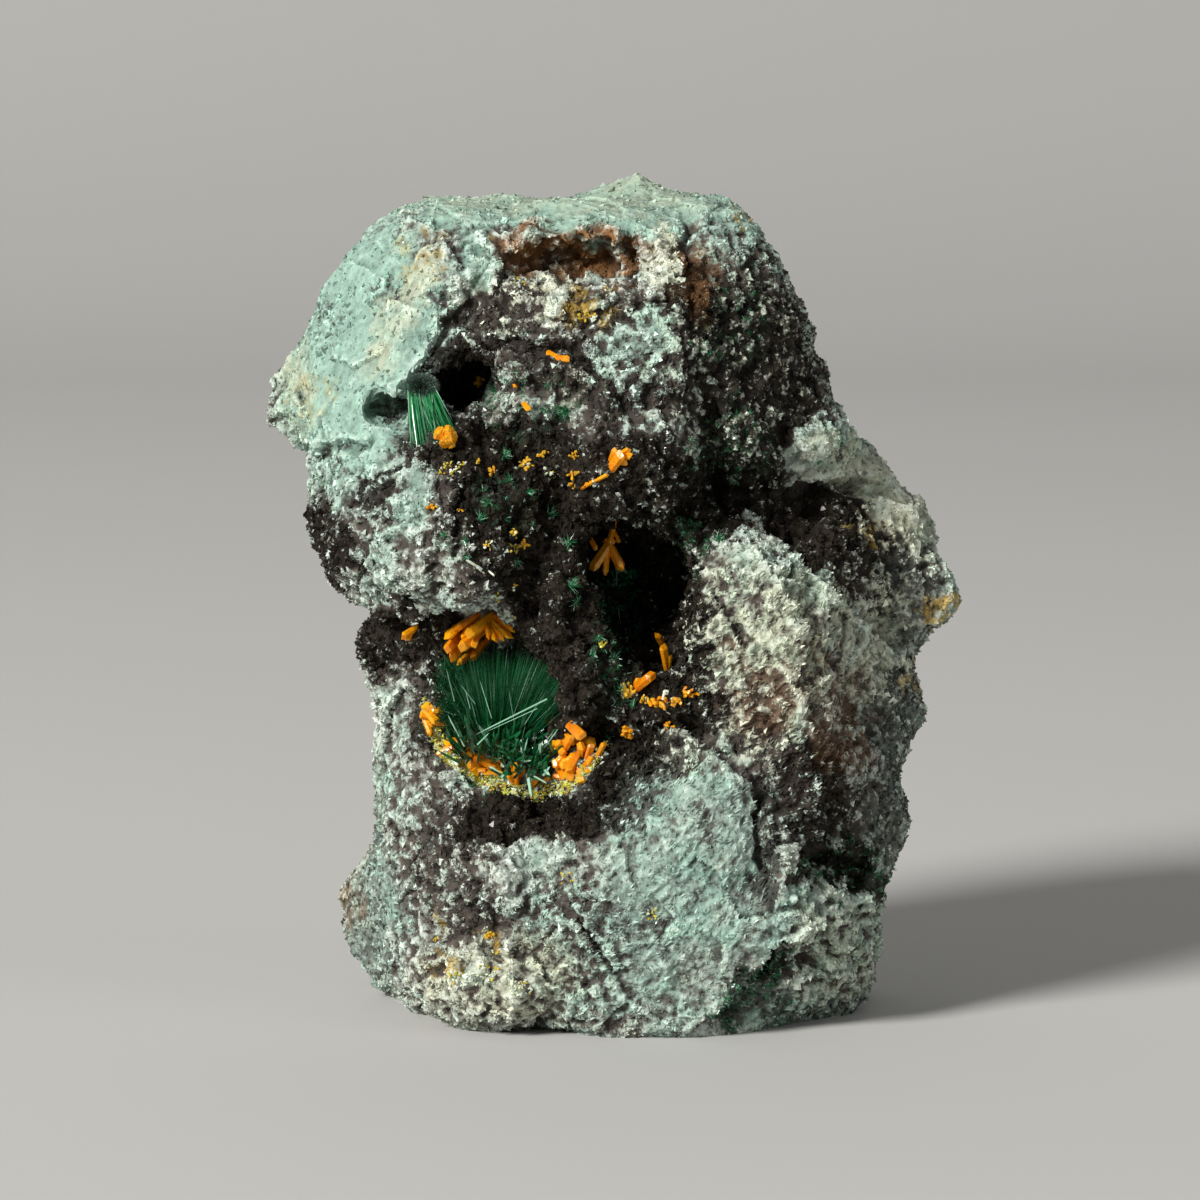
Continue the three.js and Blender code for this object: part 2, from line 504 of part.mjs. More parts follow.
// The malachite gives way to the kasolite that grew in it, with the same small clearance
for (const [name, solid] of Object.entries(malachiteSolids)) {
  let open = solid;
  for (const neighbour of Object.values(kasoliteSolids)) {
    for (const nudge of NUDGES) open = open.subtract(neighbour.translate(nudge));
  }
  specimen.add(namedMesh(name, largestBody(open), malachite));
}

export default specimen;
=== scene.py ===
# Kasolite with malachite: the looks of a small mineral specimen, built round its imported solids.
# A broken copper-ore stone with a sugary pale skin and brown oxide in its hollows carries orange
# kasolite blades and green malachite needles. Everything is worked out in millimetres and scaled at the end.
import math

import bpy
import numpy as np
from mathutils import Matrix, Vector, noise
from mathutils.bvhtree import BVHTree


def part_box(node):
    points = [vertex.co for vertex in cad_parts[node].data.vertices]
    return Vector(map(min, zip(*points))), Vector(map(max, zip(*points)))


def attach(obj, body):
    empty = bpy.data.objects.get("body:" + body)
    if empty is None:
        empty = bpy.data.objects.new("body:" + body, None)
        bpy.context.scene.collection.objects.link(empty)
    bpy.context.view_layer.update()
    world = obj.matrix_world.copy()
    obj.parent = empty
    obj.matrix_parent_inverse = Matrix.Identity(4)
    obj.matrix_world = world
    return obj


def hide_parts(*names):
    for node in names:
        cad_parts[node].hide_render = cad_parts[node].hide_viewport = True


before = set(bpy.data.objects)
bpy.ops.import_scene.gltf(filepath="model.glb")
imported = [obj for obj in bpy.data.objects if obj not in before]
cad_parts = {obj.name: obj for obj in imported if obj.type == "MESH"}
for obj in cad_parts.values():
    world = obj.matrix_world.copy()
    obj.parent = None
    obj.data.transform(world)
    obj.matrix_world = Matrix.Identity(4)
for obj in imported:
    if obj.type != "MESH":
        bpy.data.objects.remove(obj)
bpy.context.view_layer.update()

# Stone: one weathered piece of copper ore, broken all round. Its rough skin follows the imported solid:
# the solid's surface is meshed finely, softened, cut with the cracks and ledges of the front, and
# roughened with chips, crags and grain, knobbly where brown oxide lies and calm on the smooth crust.
MM = 0.001
SKIN_GRID = 0.13  # spacing of the fine mesh before it is thinned
SKIN_FACES = 194000  # triangles left after thinning
SKIN_SOFTENING = 14  # rounds of averaging that take the solid's flat facets off
HOLLOW_ROUNDS = 14  # rounds of averaging that crests and hollows are measured against
CHIP_SIZE, CHIP_TILT = 2.3, 0.26
CRAG_SIZE, CRAG_HEIGHT = 2.0, 0.26
LUMP_SIZE, LUMP_HEIGHT = 0.95, 0.20
GRAIN_SIZE, GRAIN_HEIGHT = 0.36, 0.13
CLUMP_SIZE, CLUMP_HEIGHT = 1.15, 0.68
KNOB_SIZE, KNOB_HEIGHT = 0.44, 0.36
FLAKE_SIZE, FLAKE_STRETCH, FLAKE_HEIGHT = 0.26, 3.0, 0.11
FOOT_FLAT = 0.6  # height over which the roughness fades in above the flat foot
WEIGHT_STEPS = 10  # levels of thinning between the fine front and the coarser back
THINNED_FROM = (-3.0, 4.0)  # y over which the mesh is thinned more and more

# The front is laid out as it is seen from an eye point before the stone and a little above its middle:
# x and z below are millimetres across and up in that picture, which touches the stone's front.
EYE_DISTANCE = 250.0
EYE_RISE = math.radians(5.5)
PICTURE_MIDDLE = np.array((-0.3, -3.0, 17.38))
PICTURE_X, PICTURE_Z = -0.29, 18.125  # what x and z are at the picture's middle
PICTURE_ACROSS = np.array((1.0, 0.0, 0.0))
PICTURE_UP = np.array((0.0, math.sin(EYE_RISE), math.cos(EYE_RISE)))
PICTURE_AWAY = np.array((0.0, math.cos(EYE_RISE), -math.sin(EYE_RISE)))
EYE = PICTURE_MIDDLE - EYE_DISTANCE * PICTURE_AWAY
FRONT_ENDS = (1.5, 4.5)  # y over which the front's layout gives way to that of the sides and back

# Cracks: x, z of the two ends, half width, depth
CRACKS = [
    (6.3, 10.2, 6.1, 8.4, 0.22, 0.4), (6.1, 8.4, 6.6, 6.4, 0.20, 0.35), (-5.9, 23.2, -6.3, 20.0, 0.22, 0.4),
    (-9.9, 21.5, -10.3, 18.4, 0.25, 0.35), (8.6, 7.6, 10.6, 7.0, 0.7, 0.9),
    (-8.2, 23.8, -9.9, 23.0, 0.2, 0.3), (3.0, 17.6, 3.3, 15.2, 0.25, 0.35),
]
# Ledges: x, z of the two ends, how wide the ground to the right of that line is let down, and how deep
LEDGES = [
    (3.8, 0.4, 6.9, 3.3, 2.4, 1.25), (-11.6, 18.5, -8.6, 17.3, 1.3, 0.8), (-8.6, 17.3, -5.2, 17.9, 1.2, 0.8),
    (-8.8, 26.7, -7.4, 28.8, 1.6, 0.55), (-7.4, 28.8, -6.0, 31.3, 1.6, 0.6),
    (7.4, 23.0, 10.0, 23.2, 1.5, 0.8), (11.4, 16.5, 7.8, 20.0, 1.6, 0.6), (2.6, 12.6, 0.3, 9.7, 1.2, 0.5),
    (6.2, 10.2, 3.2, 12.7, 1.0, 0.4),
    (3.2, 28.0, 3.1, 33.2, 1.7, 0.5), (-0.9, 21.6, 3.4, 22.3, 0.9, 0.6), (-1.2, 28.6, 1.6, 25.9, 0.9, 0.4),
    (-5.0, 29.2, -1.4, 28.9, 1.0, 0.5), (-12.2, 24.6, -10.0, 24.9, 0.8, 0.4),
]
# Dents: x, z of the middle, half width, half height, depth
DENTS = [
    (-6.2, 27.6, 1.5, 1.5, 0.9), (7.8, 21.6, 1.6, 1.1, 0.8), (-0.3, 20.0, 0.9, 1.5, 1.2),
    (2.7, 18.8, 0.9, 2.6, 1.0), (-3.3, 26.9, 1.0, 0.6, 0.5), (9.8, 6.8, 1.2, 0.9, 0.6),
    (4.6, 29.6, 0.9, 1.0, 0.4), (5.0, 26.2, 0.8, 0.7, 0.4), (-7.2, 19.0, 0.4, 0.9, 0.4),
]

# Patches of the front: x, z, half width, half height, turn in degrees, strength
# Some oxide patches are painted shade: the shaded right slope (6.0, 27.6), the saddle (8.8, 21.2), under the
# left block (-8.8, 16.6), the band between the upper-left faces (-11.8, 30.0) and the recess right of the
# niche (3.4, 31.2).
OXIDE_AND_SHADE_PATCHES = [
    (-3.2, 21.8, 3.4, 3.4, 0, 1.0), (-4.4, 24.4, 3.0, 1.4, 0, 0.85), (-7.4, 25.0, 1.2, 1.2, 0, 0.9),
    (-6.3, 27.6, 1.4, 1.3, 0, 1.0), (-9.2, 26.1, 0.5, 0.35, 0, 1.0),
    (-5.2, 29.6, 2.0, 2.0, 20, 0.5), (-2.2, 28.0, 2.4, 1.3, 0, 0.55), (-1.2, 30.2, 4.0, 1.0, 0, 0.45),
    (-1.8, 15.6, 2.5, 4.4, 0, 1.0), (1.1, 18.3, 2.6, 3.8, 0, 1.0), (-2.6, 9.0, 4.0, 1.2, 6, 0.95),
    (0.9, 11.2, 1.9, 1.7, 40, 1.0), (2.6, 13.7, 2.3, 1.5, 0, 0.9), (6.0, 27.6, 3.0, 4.8, 10, 0.60),
    (4.4, 22.3, 3.0, 2.2, 0, 0.85), (8.8, 21.2, 2.2, 1.6, 0, 0.9), (11.0, 19.6, 2.4, 2.0, 0, 0.6),
    (-8.8, 16.6, 3.0, 1.3, 0, 0.8), (-11.7, 20.3, 1.3, 1.8, 0, 0.8), (-9.6, 22.6, 1.0, 0.8, 0, 0.6),
    (3.4, 17.0, 0.9, 3.2, 0, 0.7), (6.4, 8.0, 0.5, 2.4, 4, 0.85), (8.2, 10.0, 2.2, 2.2, 0, 0.6),
    (9.8, 6.9, 1.6, 1.2, 0, 0.85), (12.8, 11.0, 1.8, 6.5, 0, 0.6), (1.0, 23.8, 1.8, 2.4, 0, 0.7),
    (1.4, 26.4, 2.4, 1.2, 0, 0.55), (-5.6, 8.6, 2.0, 1.4, 0, 0.5), (-7.2, 7.4, 1.0, 2.4, 0, 0.4),
    (-5.4, 5.2, 1.3, 1.0, 0, 0.45), (-0.6, 4.6, 1.2, 2.0, 0, 0.35), (2.4, 11.4, 1.4, 1.0, 0, 0.45),
    (-11.8, 30.0, 1.7, 1.0, 40, 0.42), (6.1, 1.5, 2.2, 0.9, 43, 0.75), (8.4, 0.9, 3.4, 0.7, 0, 0.5),
    (-7.2, 13.4, 1.0, 2.2, 0, 0.6), (7.0, 12.4, 1.2, 1.2, 0, 0.4), (-10.4, 5.4, 1.6, 5.4, 0, 0.55),
    (-9.0, 31.2, 0.7, 1.0, 0, 0.5), (3.4, 31.2, 1.0, 1.8, 0, 0.75), (1.0, 8.6, 1.0, 0.8, 0, 0.35),
    (3.9, 9.0, 0.8, 0.7, 0, 0.35), (2.0, 4.6, 0.9, 0.8, 0, 0.35), (1.2, 28.2, 1.7, 1.5, 0, 0.4),
    (-11.4, 22.4, 0.9, 1.8, 0, 0.4), (-0.9, 32.3, 0.9, 0.8, 0, 0.6), (1.2, 32.0, 0.9, 0.6, 0, 0.7),
]
MINT_PATCHES = [
    (-10.4, 28.8, 3.4, 5.2, 0, 1.0), (-1.5, 35.0, 8.5, 1.7, 0, 1.0), (-11.0, 23.4, 1.4, 1.4, 0, 0.6),
    (-8.6, 22.6, 1.4, 1.7, 0, 0.45), (1.1, 28.4, 2.0, 1.9, 0, 0.6), (3.2, 7.4, 3.4, 4.6, 0, 0.5),
    (7.0, 1.2, 4.4, 0.8, 0, 0.4), (8.7, 4.4, 2.4, 2.0, 0, 0.4), (5.6, 32.6, 1.6, 2.0, 0, 0.6),
    (-5.5, 32.4, 0.7, 1.2, 0, 1.0), (9.0, 25.2, 1.2, 1.3, 0, 0.6), (-10.2, 6.0, 1.7, 5.2, 0, 0.3),
    (0.2, 3.6, 3.4, 2.8, 0, 0.45), (7.4, 18.6, 2.6, 1.6, 0, 0.45), (-2.6, 6.9, 1.4, 0.9, 0, 0.3),
    (4.9, 16.2, 1.6, 1.4, 0, 0.4), (-9.4, 20.0, 0.8, 2.0, 0, 0.3), (6.9, 15.8, 1.0, 0.7, 0, 0.6),
]
RUST_PATCHES = [
    (-1.4, 32.5, 3.1, 1.0, 0, 1.0), (6.6, 13.9, 1.6, 1.4, 0, 0.35), (9.6, 12.9, 1.2, 2.2, 0, 0.4),
    (3.9, 31.6, 0.8, 1.5, 0, 0.6), (5.4, 15.6, 1.0, 0.8, 0, 0.25), (-10.9, 5.6, 0.7, 1.2, 0, 0.5),
]
CRUST_PATCHES = [
    (-2.3, 30.6, 0.6, 0.9, 0, 1.0), (-3.4, 7.0, 1.3, 0.8, 0, 1.0), (8.5, 24.1, 1.1, 1.0, 0, 0.8),
    (2.2, 32.2, 0.7, 1.6, 0, 0.8), (-6.1, 31.0, 0.6, 0.8, -40, 0.9), (-5.5, 32.4, 0.6, 1.1, 0, 0.9),
    (1.0, 28.9, 1.3, 0.8, 0, 0.5), (-8.2, 22.0, 0.8, 1.6, 0, 0.5), (7.6, 19.4, 2.6, 0.9, -30, 0.6),
    (-5.6, 3.2, 1.2, 0.7, 0, 0.5), (8.6, 5.2, 1.8, 1.2, 0, 0.5), (1.6, 25.6, 1.2, 0.5, 0, 0.5),
    (5.4, 20.6, 1.0, 0.9, 0, 0.6), (-9.1, 13.2, 0.9, 1.6, 0, 0.4), (2.6, 12.2, 0.8, 0.4, 20, 0.3),
    (-12.9, 22.6, 0.5, 2.2, 0, 0.4), (11.8, 22.4, 2.4, 1.1, -50, 0.7), (11.0, 16.8, 1.4, 2.0, 0, 0.5),
]
CREAM_PATCHES = [
    (-1.5, 35.4, 9.0, 1.2, 0, 0.4), (-2.4, 30.6, 0.8, 1.1, 0, 1.0), (-4.8, 30.4, 1.6, 1.4, 0, 0.5),
    (2.4, 32.4, 0.7, 1.4, 0, 0.9), (6.4, 16.6, 3.6, 3.2, 0, 0.6),
    (6.6, 13.0, 2.0, 1.6, 0, 0.6), (-4.6, 2.4, 3.2, 1.7, 0, 0.6), (-8.6, 30.0, 0.6, 3.0, -24, 0.6),
    (-13.2, 27.4, 0.8, 1.6, 0, 0.6), (2.4, 11.6, 1.6, 0.8, 0, 0.4), (9.6, 3.6, 1.6, 2.2, 0, 0.4),
    (9.2, 23.9, 1.2, 1.1, 0, 0.7), (-1.0, 27.0, 1.0, 0.9, 0, 0.35),
    (11.8, 22.0, 2.6, 1.4, -50, 0.7), (11.0, 17.0, 2.0, 3.0, 0, 0.6), (5.4, 27.6, 3.0, 4.6, 10, 0.4),
]
OCHRE_PATCHES = [
    (-12.3, 26.3, 0.7, 1.2, 0, 0.35), (-7.8, 32.4, 0.9, 1.0, 0, 0.5), (5.6, 34.2, 0.5, 0.4, 0, 0.8),
    (13.9, 17.7, 0.7, 0.7, 0, 0.8), (13.0, 14.8, 0.6, 0.7, 0, 0.6), (11.4, 21.0, 0.9, 0.6, 0, 0.5),
    (-0.9, 30.2, 0.9, 0.8, 0, 0.6), (-6.6, 2.8, 0.6, 0.6, 0, 0.7), (-4.9, 4.2, 0.3, 0.4, 0, 0.9),
    (-7.0, 4.4, 0.25, 0.8, 0, 0.7), (-5.0, 32.9, 0.3, 0.4, 0, 0.4), (8.4, 15.6, 0.5, 0.8, 0, 0.3),
]
GREEN_PATCHES = [
    (-3.6, 26.2, 1.8, 1.4, 0, 0.5), (0.3, 16.8, 0.9, 3.0, 0, 0.8), (4.8, 24.8, 1.8, 1.6, 0, 0.6),
    (6.1, 1.5, 2.2, 0.9, 43, 1.0), (-5.2, 13.4, 2.2, 3.2, 0, 0.9), (-1.7, 26.0, 1.0, 0.8, 0, 0.8),
    (5.2, 29.4, 1.4, 1.6, 0, 0.5), (9.8, 6.8, 1.8, 1.2, 0, 0.6), (-4.4, 22.0, 1.2, 0.9, 0, 0.5),
    (7.6, 0.7, 3.6, 0.6, 0, 0.4), (8.9, 24.2, 0.6, 1.6, 0, 0.3), (3.4, 20.6, 1.2, 1.2, 0, 0.6),
]
CALM_PATCHES = [
    (-10.4, 28.9, 3.2, 5.2, 0, 0.85), (-1.5, 35.3, 9.0, 1.5, 0, 0.8), (7.5, 0.9, 4.0, 0.9, 0, 0.6),
    (3.4, 5.8, 3.6, 5.4, 0, 0.45), (-10.4, 6.0, 1.5, 5.4, 0, 0.9), (12.8, 10.0, 1.6, 9.0, 0, 0.6),
    (-11.2, 23.4, 1.0, 1.4, 0, 0.6), (9.2, 24.0, 0.8, 0.9, 0, 0.6),
    (11.9, 22.2, 2.2, 1.0, -50, 0.5),
]
RUBBLE_PATCHES = [
    (8.8, 4.2, 2.3, 2.4, 0, 0.9), (-8.2, 20.6, 2.0, 2.4, 0, 0.35), (-6.0, 5.0, 2.4, 4.0, 0, 0.4),
    (1.4, 23.4, 2.0, 2.4, 0, 0.5), (7.4, 11.0, 2.4, 3.0, 0, 0.35), (-1.8, 30.8, 3.0, 1.2, 0, 0.6),
    (-1.4, 32.6, 3.2, 1.0, 0, 0.8),
]
FLAKE_PATCHES = [
    (3.4, 7.0, 3.6, 5.4, 0, 1.0), (6.6, 14.6, 3.6, 5.4, 0, 0.9), (0.0, 3.6, 4.0, 3.6, 0, 0.6),
    (-7.6, 19.4, 2.4, 2.0, 0, 0.4),
]
PATCHES = {
    "oxide": OXIDE_AND_SHADE_PATCHES, "mint": MINT_PATCHES, "rust": RUST_PATCHES, "cream": CREAM_PATCHES,
    "ochre": OCHRE_PATCHES, "green": GREEN_PATCHES, "calm": CALM_PATCHES, "rubble": RUBBLE_PATCHES,
    "flaky": FLAKE_PATCHES, "crust": CRUST_PATCHES,
}
EDGE_WANDER = [(0.75, 1.5, 3), (0.55, 0.6, 5)]  # how far the patches' edges wander, bump size and seed
CUT_WANDER = [(0.35, 1.0, 71), (0.15, 0.4, 72)]  # the same for the cracks, ledges and dents
FLAKE_RISE = math.radians(52)  # the way the flakes run, up to the right


def faded(values, low, high):
    """0 at low, 1 at high, with a soft start and end."""
    share = np.clip((values - low) / (high - low), 0, 1)
    return share * share * (3 - 2 * share)


def swell(points, size, seed):
    """Perlin noise from about -1 to 1, with bumps about size apart."""
    return np.array([noise.noise(point) for point in (points / size + seed * 7.31).tolist()])


def crease(points, size, seed):
    """Folded noise in two sizes: sharp ridges with pits between, from about -1 to 1."""
    coarse = 1 - 2.6 * np.abs(swell(points, size, seed))
    fine = 1 - 2.6 * np.abs(swell(points, size * 0.47, seed + 1))
    return coarse * 0.65 + fine * 0.35 - 0.35


def nearest_cells(points, size, seed):
    """For each point, the vector from the middle of its random cell and that middle, both in cell sizes."""
    placed = (points / size + seed * 3.77).tolist()
    middles = np.array([noise.voronoi(point)[1][0] for point in placed])
    return np.array(placed) - middles, middles


def knobs(points, size, height, seed):
    """Rounded knobs about size apart, with narrow pits between them."""
    offset, _ = nearest_cells(points, size, seed)
    return height * (0.45 - 1.1 * np.linalg.norm(offset, axis=1) ** 1.5)


def seen(points):
    """Where points of the front lie in the picture, as x and z."""
    ways = points - EYE
    depth = ways @ PICTURE_AWAY / EYE_DISTANCE
    return ways @ PICTURE_ACROSS / depth + PICTURE_X, ways @ PICTURE_UP / depth + PICTURE_Z


def line_distance(x, z, ends):
    """How far each picture point is from a line between two ends, and how far right of it."""
    x0, z0, x1, z1 = ends
    along_x, along_z = x1 - x0, z1 - z0
    length = math.hypot(along_x, along_z)
    share = np.clip(((x - x0) * along_x + (z - z0) * along_z) / length ** 2, 0, 1)
    off_x, off_z = x - x0 - share * along_x, z - z0 - share * along_z
    return np.hypot(off_x, off_z), (off_x * along_z - off_z * along_x) / length


def cut_depth(points):
    """How deep the cracks and ledges of the front go in at each point."""
    wander = sum(reach * swell(points, size, seed) for reach, size, seed in CUT_WANDER)
    x, z = seen(points)
    depth = np.zeros(len(points))
    for *ends, width, deep in CRACKS:
        distance, _ = line_distance(x + wander, z, ends)
        depth = np.maximum(depth, deep * (1 - faded(distance, 0, width)))
    for *ends, width, deep in LEDGES:
        distance, right = line_distance(x + wander, z - wander, ends)
        let_down = faded(right, -0.05, 0.22) * (1 - faded(distance, 0.2, width))
        depth = np.maximum(depth, deep * let_down)
    for middle_x, middle_z, half_x, half_z, deep in DENTS:
        reach = np.hypot((x + wander - middle_x) / half_x, (z - wander - middle_z) / half_z)
        depth = np.maximum(depth, deep * (1 - faded(reach, 0.55, 1.1)))
    return depth * (1 - faded(points[:, 1], *FRONT_ENDS))


def patch_share(points, patches, wander):
    """How strongly each point lies in any of the patches, with edges that wander and fade."""
    share = np.zeros(len(points))
    picture_x, picture_z = seen(points)
    for x, z, half_x, half_z, turn, strength in patches:
        cosine, sine = math.cos(math.radians(turn)), math.sin(math.radians(turn))
        along = picture_x - x + wander[:, 0]
        up = picture_z - z + wander[:, 1]
        reach = np.hypot((cosine * along + sine * up) / half_x, (cosine * up - sine * along) / half_z)
        share = np.maximum(share, strength * faded(-reach, -1.35, -0.7))
    return share


def ore_masks(points):
    """The shares of each mineral and texture over the stone: patches in front, clouds elsewhere."""
    wander = sum(
        reach * np.stack([swell(points, size, seed), swell(points, size, seed + 1)], axis=1)
        for reach, size, seed in EDGE_WANDER
    )
    front = 1 - faded(points[:, 1], *FRONT_ENDS)
    cloud = swell(points, 6.0, 8) + 0.5 * swell(points, 2.3, 9) + 0.3 * swell(points, 0.9, 10)
    other = swell(points, 7.0, 12) + 0.4 * swell(points, 2.0, 13)
    around = {
        "oxide": 0.75 * faded(cloud, 0.1, 0.6),
        "mint": 0.7 * faded(-cloud, 0.0, 0.5),
        "rust": 0.5 * faded(other, 0.3, 0.6),
        "cream": 0.5 * faded(-other, 0.15, 0.5),
        "crust": 0.4 * faded(other, 0.1, 0.5),
        "ochre": 0.6 * faded(other * cloud, 0.2, 0.34),
        "green": 0.4 * faded(other - cloud, 0.5, 0.8),
        "calm": 0.5 * faded(-cloud, 0.05, 0.45),
        "rubble": 0.5 * faded(other - cloud, -0.1, 0.3),
        "flaky": 0.7 * faded(-other, 0.0, 0.3),
    }
    found = {
        name: front * patch_share(points, patches, wander) + (1 - front) * around[name]
        for name, patches in PATCHES.items()
    }
    found["oxide"] *= 1 - found["crust"]
    return found


def mesh_arrays(mesh):
    """Points, point normals and triangles of a mesh as arrays."""
    points = np.empty(len(mesh.vertices) * 3)
    mesh.vertices.foreach_get("co", points)
    normals = np.empty(len(mesh.vertices) * 3)
    mesh.vertex_normals.foreach_get("vector", normals)
    mesh.calc_loop_triangles()
    triangles = np.empty(len(mesh.loop_triangles) * 3, dtype=np.int32)
    mesh.loop_triangles.foreach_get("vertices", triangles)
    return points.reshape(-1, 3), normals.reshape(-1, 3), triangles.reshape(-1, 3)


def mesh_edges(mesh):
    """The two ends of each edge of a mesh."""
    edges = np.empty(len(mesh.edges) * 2, dtype=np.int32)
    mesh.edges.foreach_get("vertices", edges)
    return edges.reshape(-1, 2)


def averaged(values, edges, rounds):
    """Each point's values averaged with its neighbours', a number of rounds over."""
    count = len(values)
    ends = np.concatenate([edges[:, 0], edges[:, 1]])
    others = np.concatenate([edges[:, 1], edges[:, 0]])
    neighbours = np.maximum(np.bincount(ends, minlength=count), 1)
    for _ in range(rounds):
        sums = [np.bincount(ends, weights=values[others, axis], minlength=count) for axis in range(3)]
        values = 0.5 * values + 0.5 * np.stack(sums, axis=1) / neighbours[:, None]
    return values


def linked_object(name, data):
    """A new object in the scene with the given mesh, light or camera."""
    made = bpy.data.objects.new(name, data)
    bpy.context.scene.collection.objects.link(made)
    return made


def with_modifier(mesh, kind, settings, group=None):
    """A new mesh: the given one after one modifier, with an optional vertex group of weights."""
    carrier = linked_object("carrier", mesh)
    if group is not None:
        weights = carrier.vertex_groups.new(name="thin")
        for level in range(WEIGHT_STEPS + 1):
            chosen = np.nonzero(np.round(group * WEIGHT_STEPS) == level)[0].tolist()
            weights.add(chosen, level / WEIGHT_STEPS, "REPLACE")
    modifier = carrier.modifiers.new(kind.lower(), kind)
    for name, value in settings.items():
        setattr(modifier, name, value)
    graph = bpy.context.evaluated_depsgraph_get()
    made = bpy.data.meshes.new_from_object(carrier.evaluated_get(graph), depsgraph=graph)
    bpy.data.objects.remove(carrier)
    return made


def add_values(mesh, name, values):
    """Stores one value for each point of a mesh."""
    mesh.attributes.new(name, "FLOAT", "POINT").data.foreach_set("value", values.astype(np.float32))


def point_values(mesh, name):
    """Reads back one value for each point of a mesh."""
    values = np.empty(len(mesh.vertices), dtype=np.float32)
    mesh.attributes[name].data.foreach_get("value", values)
    return values


def place_piece(name, mesh, material, replaced=()):
    """Links a piece, gives it its material, and hands it to the frame."""
    mesh.materials.clear()
    mesh.materials.append(material)
    piece = linked_object(name, mesh)
    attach(piece, "root")
    if replaced:
        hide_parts(*replaced)


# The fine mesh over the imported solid
skin_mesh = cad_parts["stone"].data.copy()
skin_mesh.transform(Matrix.Scale(1 / MM, 4))
skin_mesh = with_modifier(skin_mesh, "REMESH", {"mode": "VOXEL", "voxel_size": SKIN_GRID})
skin_points, _, _ = mesh_arrays(skin_mesh)
skin_edges = mesh_edges(skin_mesh)
softened = averaged(skin_points, skin_edges, SKIN_SOFTENING)
standing = skin_points[:, 2] < 0.05
softened[standing, 2] = skin_points[standing, 2]
skin_mesh.vertices.foreach_set("co", softened.ravel())
skin_mesh.update()
skin_points, skin_normals, _ = mesh_arrays(skin_mesh)

# Its roughness
masks = ore_masks(skin_points)
chip_offset, chip_middle = nearest_cells(skin_points, CHIP_SIZE, 1)
tilts = np.array([noise.cell_vector(middle) for middle in (chip_middle * 5.3).tolist()]) - 0.5
chips = CHIP_TILT * 2 * (chip_offset * tilts).sum(axis=1)
crags = CRAG_HEIGHT * crease(skin_points, CRAG_SIZE, 21)
lumps = LUMP_HEIGHT * crease(skin_points, LUMP_SIZE, 31)
grain = GRAIN_HEIGHT * swell(skin_points, GRAIN_SIZE, 41)
rise, run = math.sin(FLAKE_RISE), math.cos(FLAKE_RISE)
flake_ways = np.array(((run / FLAKE_STRETCH, -rise, 0), (0, 0, 1), (rise / FLAKE_STRETCH, run, 0)))
flakes = FLAKE_HEIGHT * crease(skin_points @ flake_ways, FLAKE_SIZE, 51)
calm = 1 - masks["calm"]
clumpy = np.maximum(masks["oxide"], masks["rubble"])
relief = chips * (0.45 + 0.55 * calm) + calm * (crags + lumps * (1 - 0.6 * masks["flaky"]) + grain)
relief += knobs(skin_points, CLUMP_SIZE, CLUMP_HEIGHT, 4) * clumpy * calm
knobbly = (0.30 + 0.70 * clumpy) * (1 - 0.65 * masks["flaky"] * (1 - clumpy))
relief += knobs(skin_points, KNOB_SIZE, KNOB_HEIGHT, 2) * knobbly * calm
relief += flakes * (0.25 + 0.75 * masks["flaky"]) * (0.4 + 0.6 * calm)
relief -= cut_depth(skin_points)
relief *= faded(skin_points[:, 2], 0.0, FOOT_FLAT)
skin_points = skin_points + skin_normals * relief[:, None]
skin_points[:, 2] = np.maximum(skin_points[:, 2], 0)
hollow = ((averaged(skin_points, skin_edges, HOLLOW_ROUNDS) - skin_points) * skin_normals).sum(axis=1)
skin_mesh.vertices.foreach_set("co", skin_points.ravel())
for name, values in masks.items():
    add_values(skin_mesh, name, values)
add_values(skin_mesh, "hollow", hollow)
thinning = np.clip(0.1 + 0.9 * faded(skin_points[:, 1], *THINNED_FROM), 0, 1)
wanted = SKIN_FACES / (2 * len(skin_mesh.polygons))
skin_mesh = with_modifier(
    skin_mesh, "DECIMATE", {"ratio": wanted, "vertex_group": "thin", "vertex_group_factor": 0.8}, thinning
)


# Colours of the ore, shared by the skin and by every grain on it. A pale crust, mint, cream or grey,
# covers the crests of a mauve-brown matrix, and thins out to bare black-brown oxide in its patches,
# some of which are painted shade. Over all of it the hollows are painted darker and the crests lighter,
# as painted shade and painted light.
def node_group(name, inputs, outputs):
    """A new shader group with colour or float sockets, and its input and output nodes."""
    group = bpy.data.node_groups.new(name, "ShaderNodeTree")
    kinds = {"colour": "NodeSocketColor", "value": "NodeSocketFloat"}
    for socket, kind, default in inputs:
        group.interface.new_socket(socket, in_out="INPUT", socket_type=kinds[kind]).default_value = default
    for socket, kind in outputs:
        group.interface.new_socket(socket, in_out="OUTPUT", socket_type=kinds[kind])
    return group, group.nodes.new("NodeGroupInput"), group.nodes.new("NodeGroupOutput")


def linked(tree, kind, settings=None, **sockets):
    """A new node with its settings, and with each named socket set to a value or fed by another socket."""
    node = tree.nodes.new(kind)
    for name, value in (settings or {}).items():
        setattr(node, name, value)
    for name, value in sockets.items():
        key = int(name[1:]) if name[0] == "i" and name[1:].isdigit() else name.replace("_", " ")
        if isinstance(value, bpy.types.NodeSocket):
            tree.links.new(value, node.inputs[key])
        else:
            node.inputs[key].default_value = value
    return node


def new_material(name):
    """A new material, its node tree and its surface shader."""
    material = bpy.data.materials.new(name)
    material.use_nodes = True
    return material, material.node_tree, material.node_tree.nodes["Principled BSDF"]


def shares(tree, name):
    """One of the values that a mesh carries at its points, such as a mineral's share."""
    return linked(tree, "ShaderNodeAttribute", {"attribute_name": name}).outputs["Fac"]


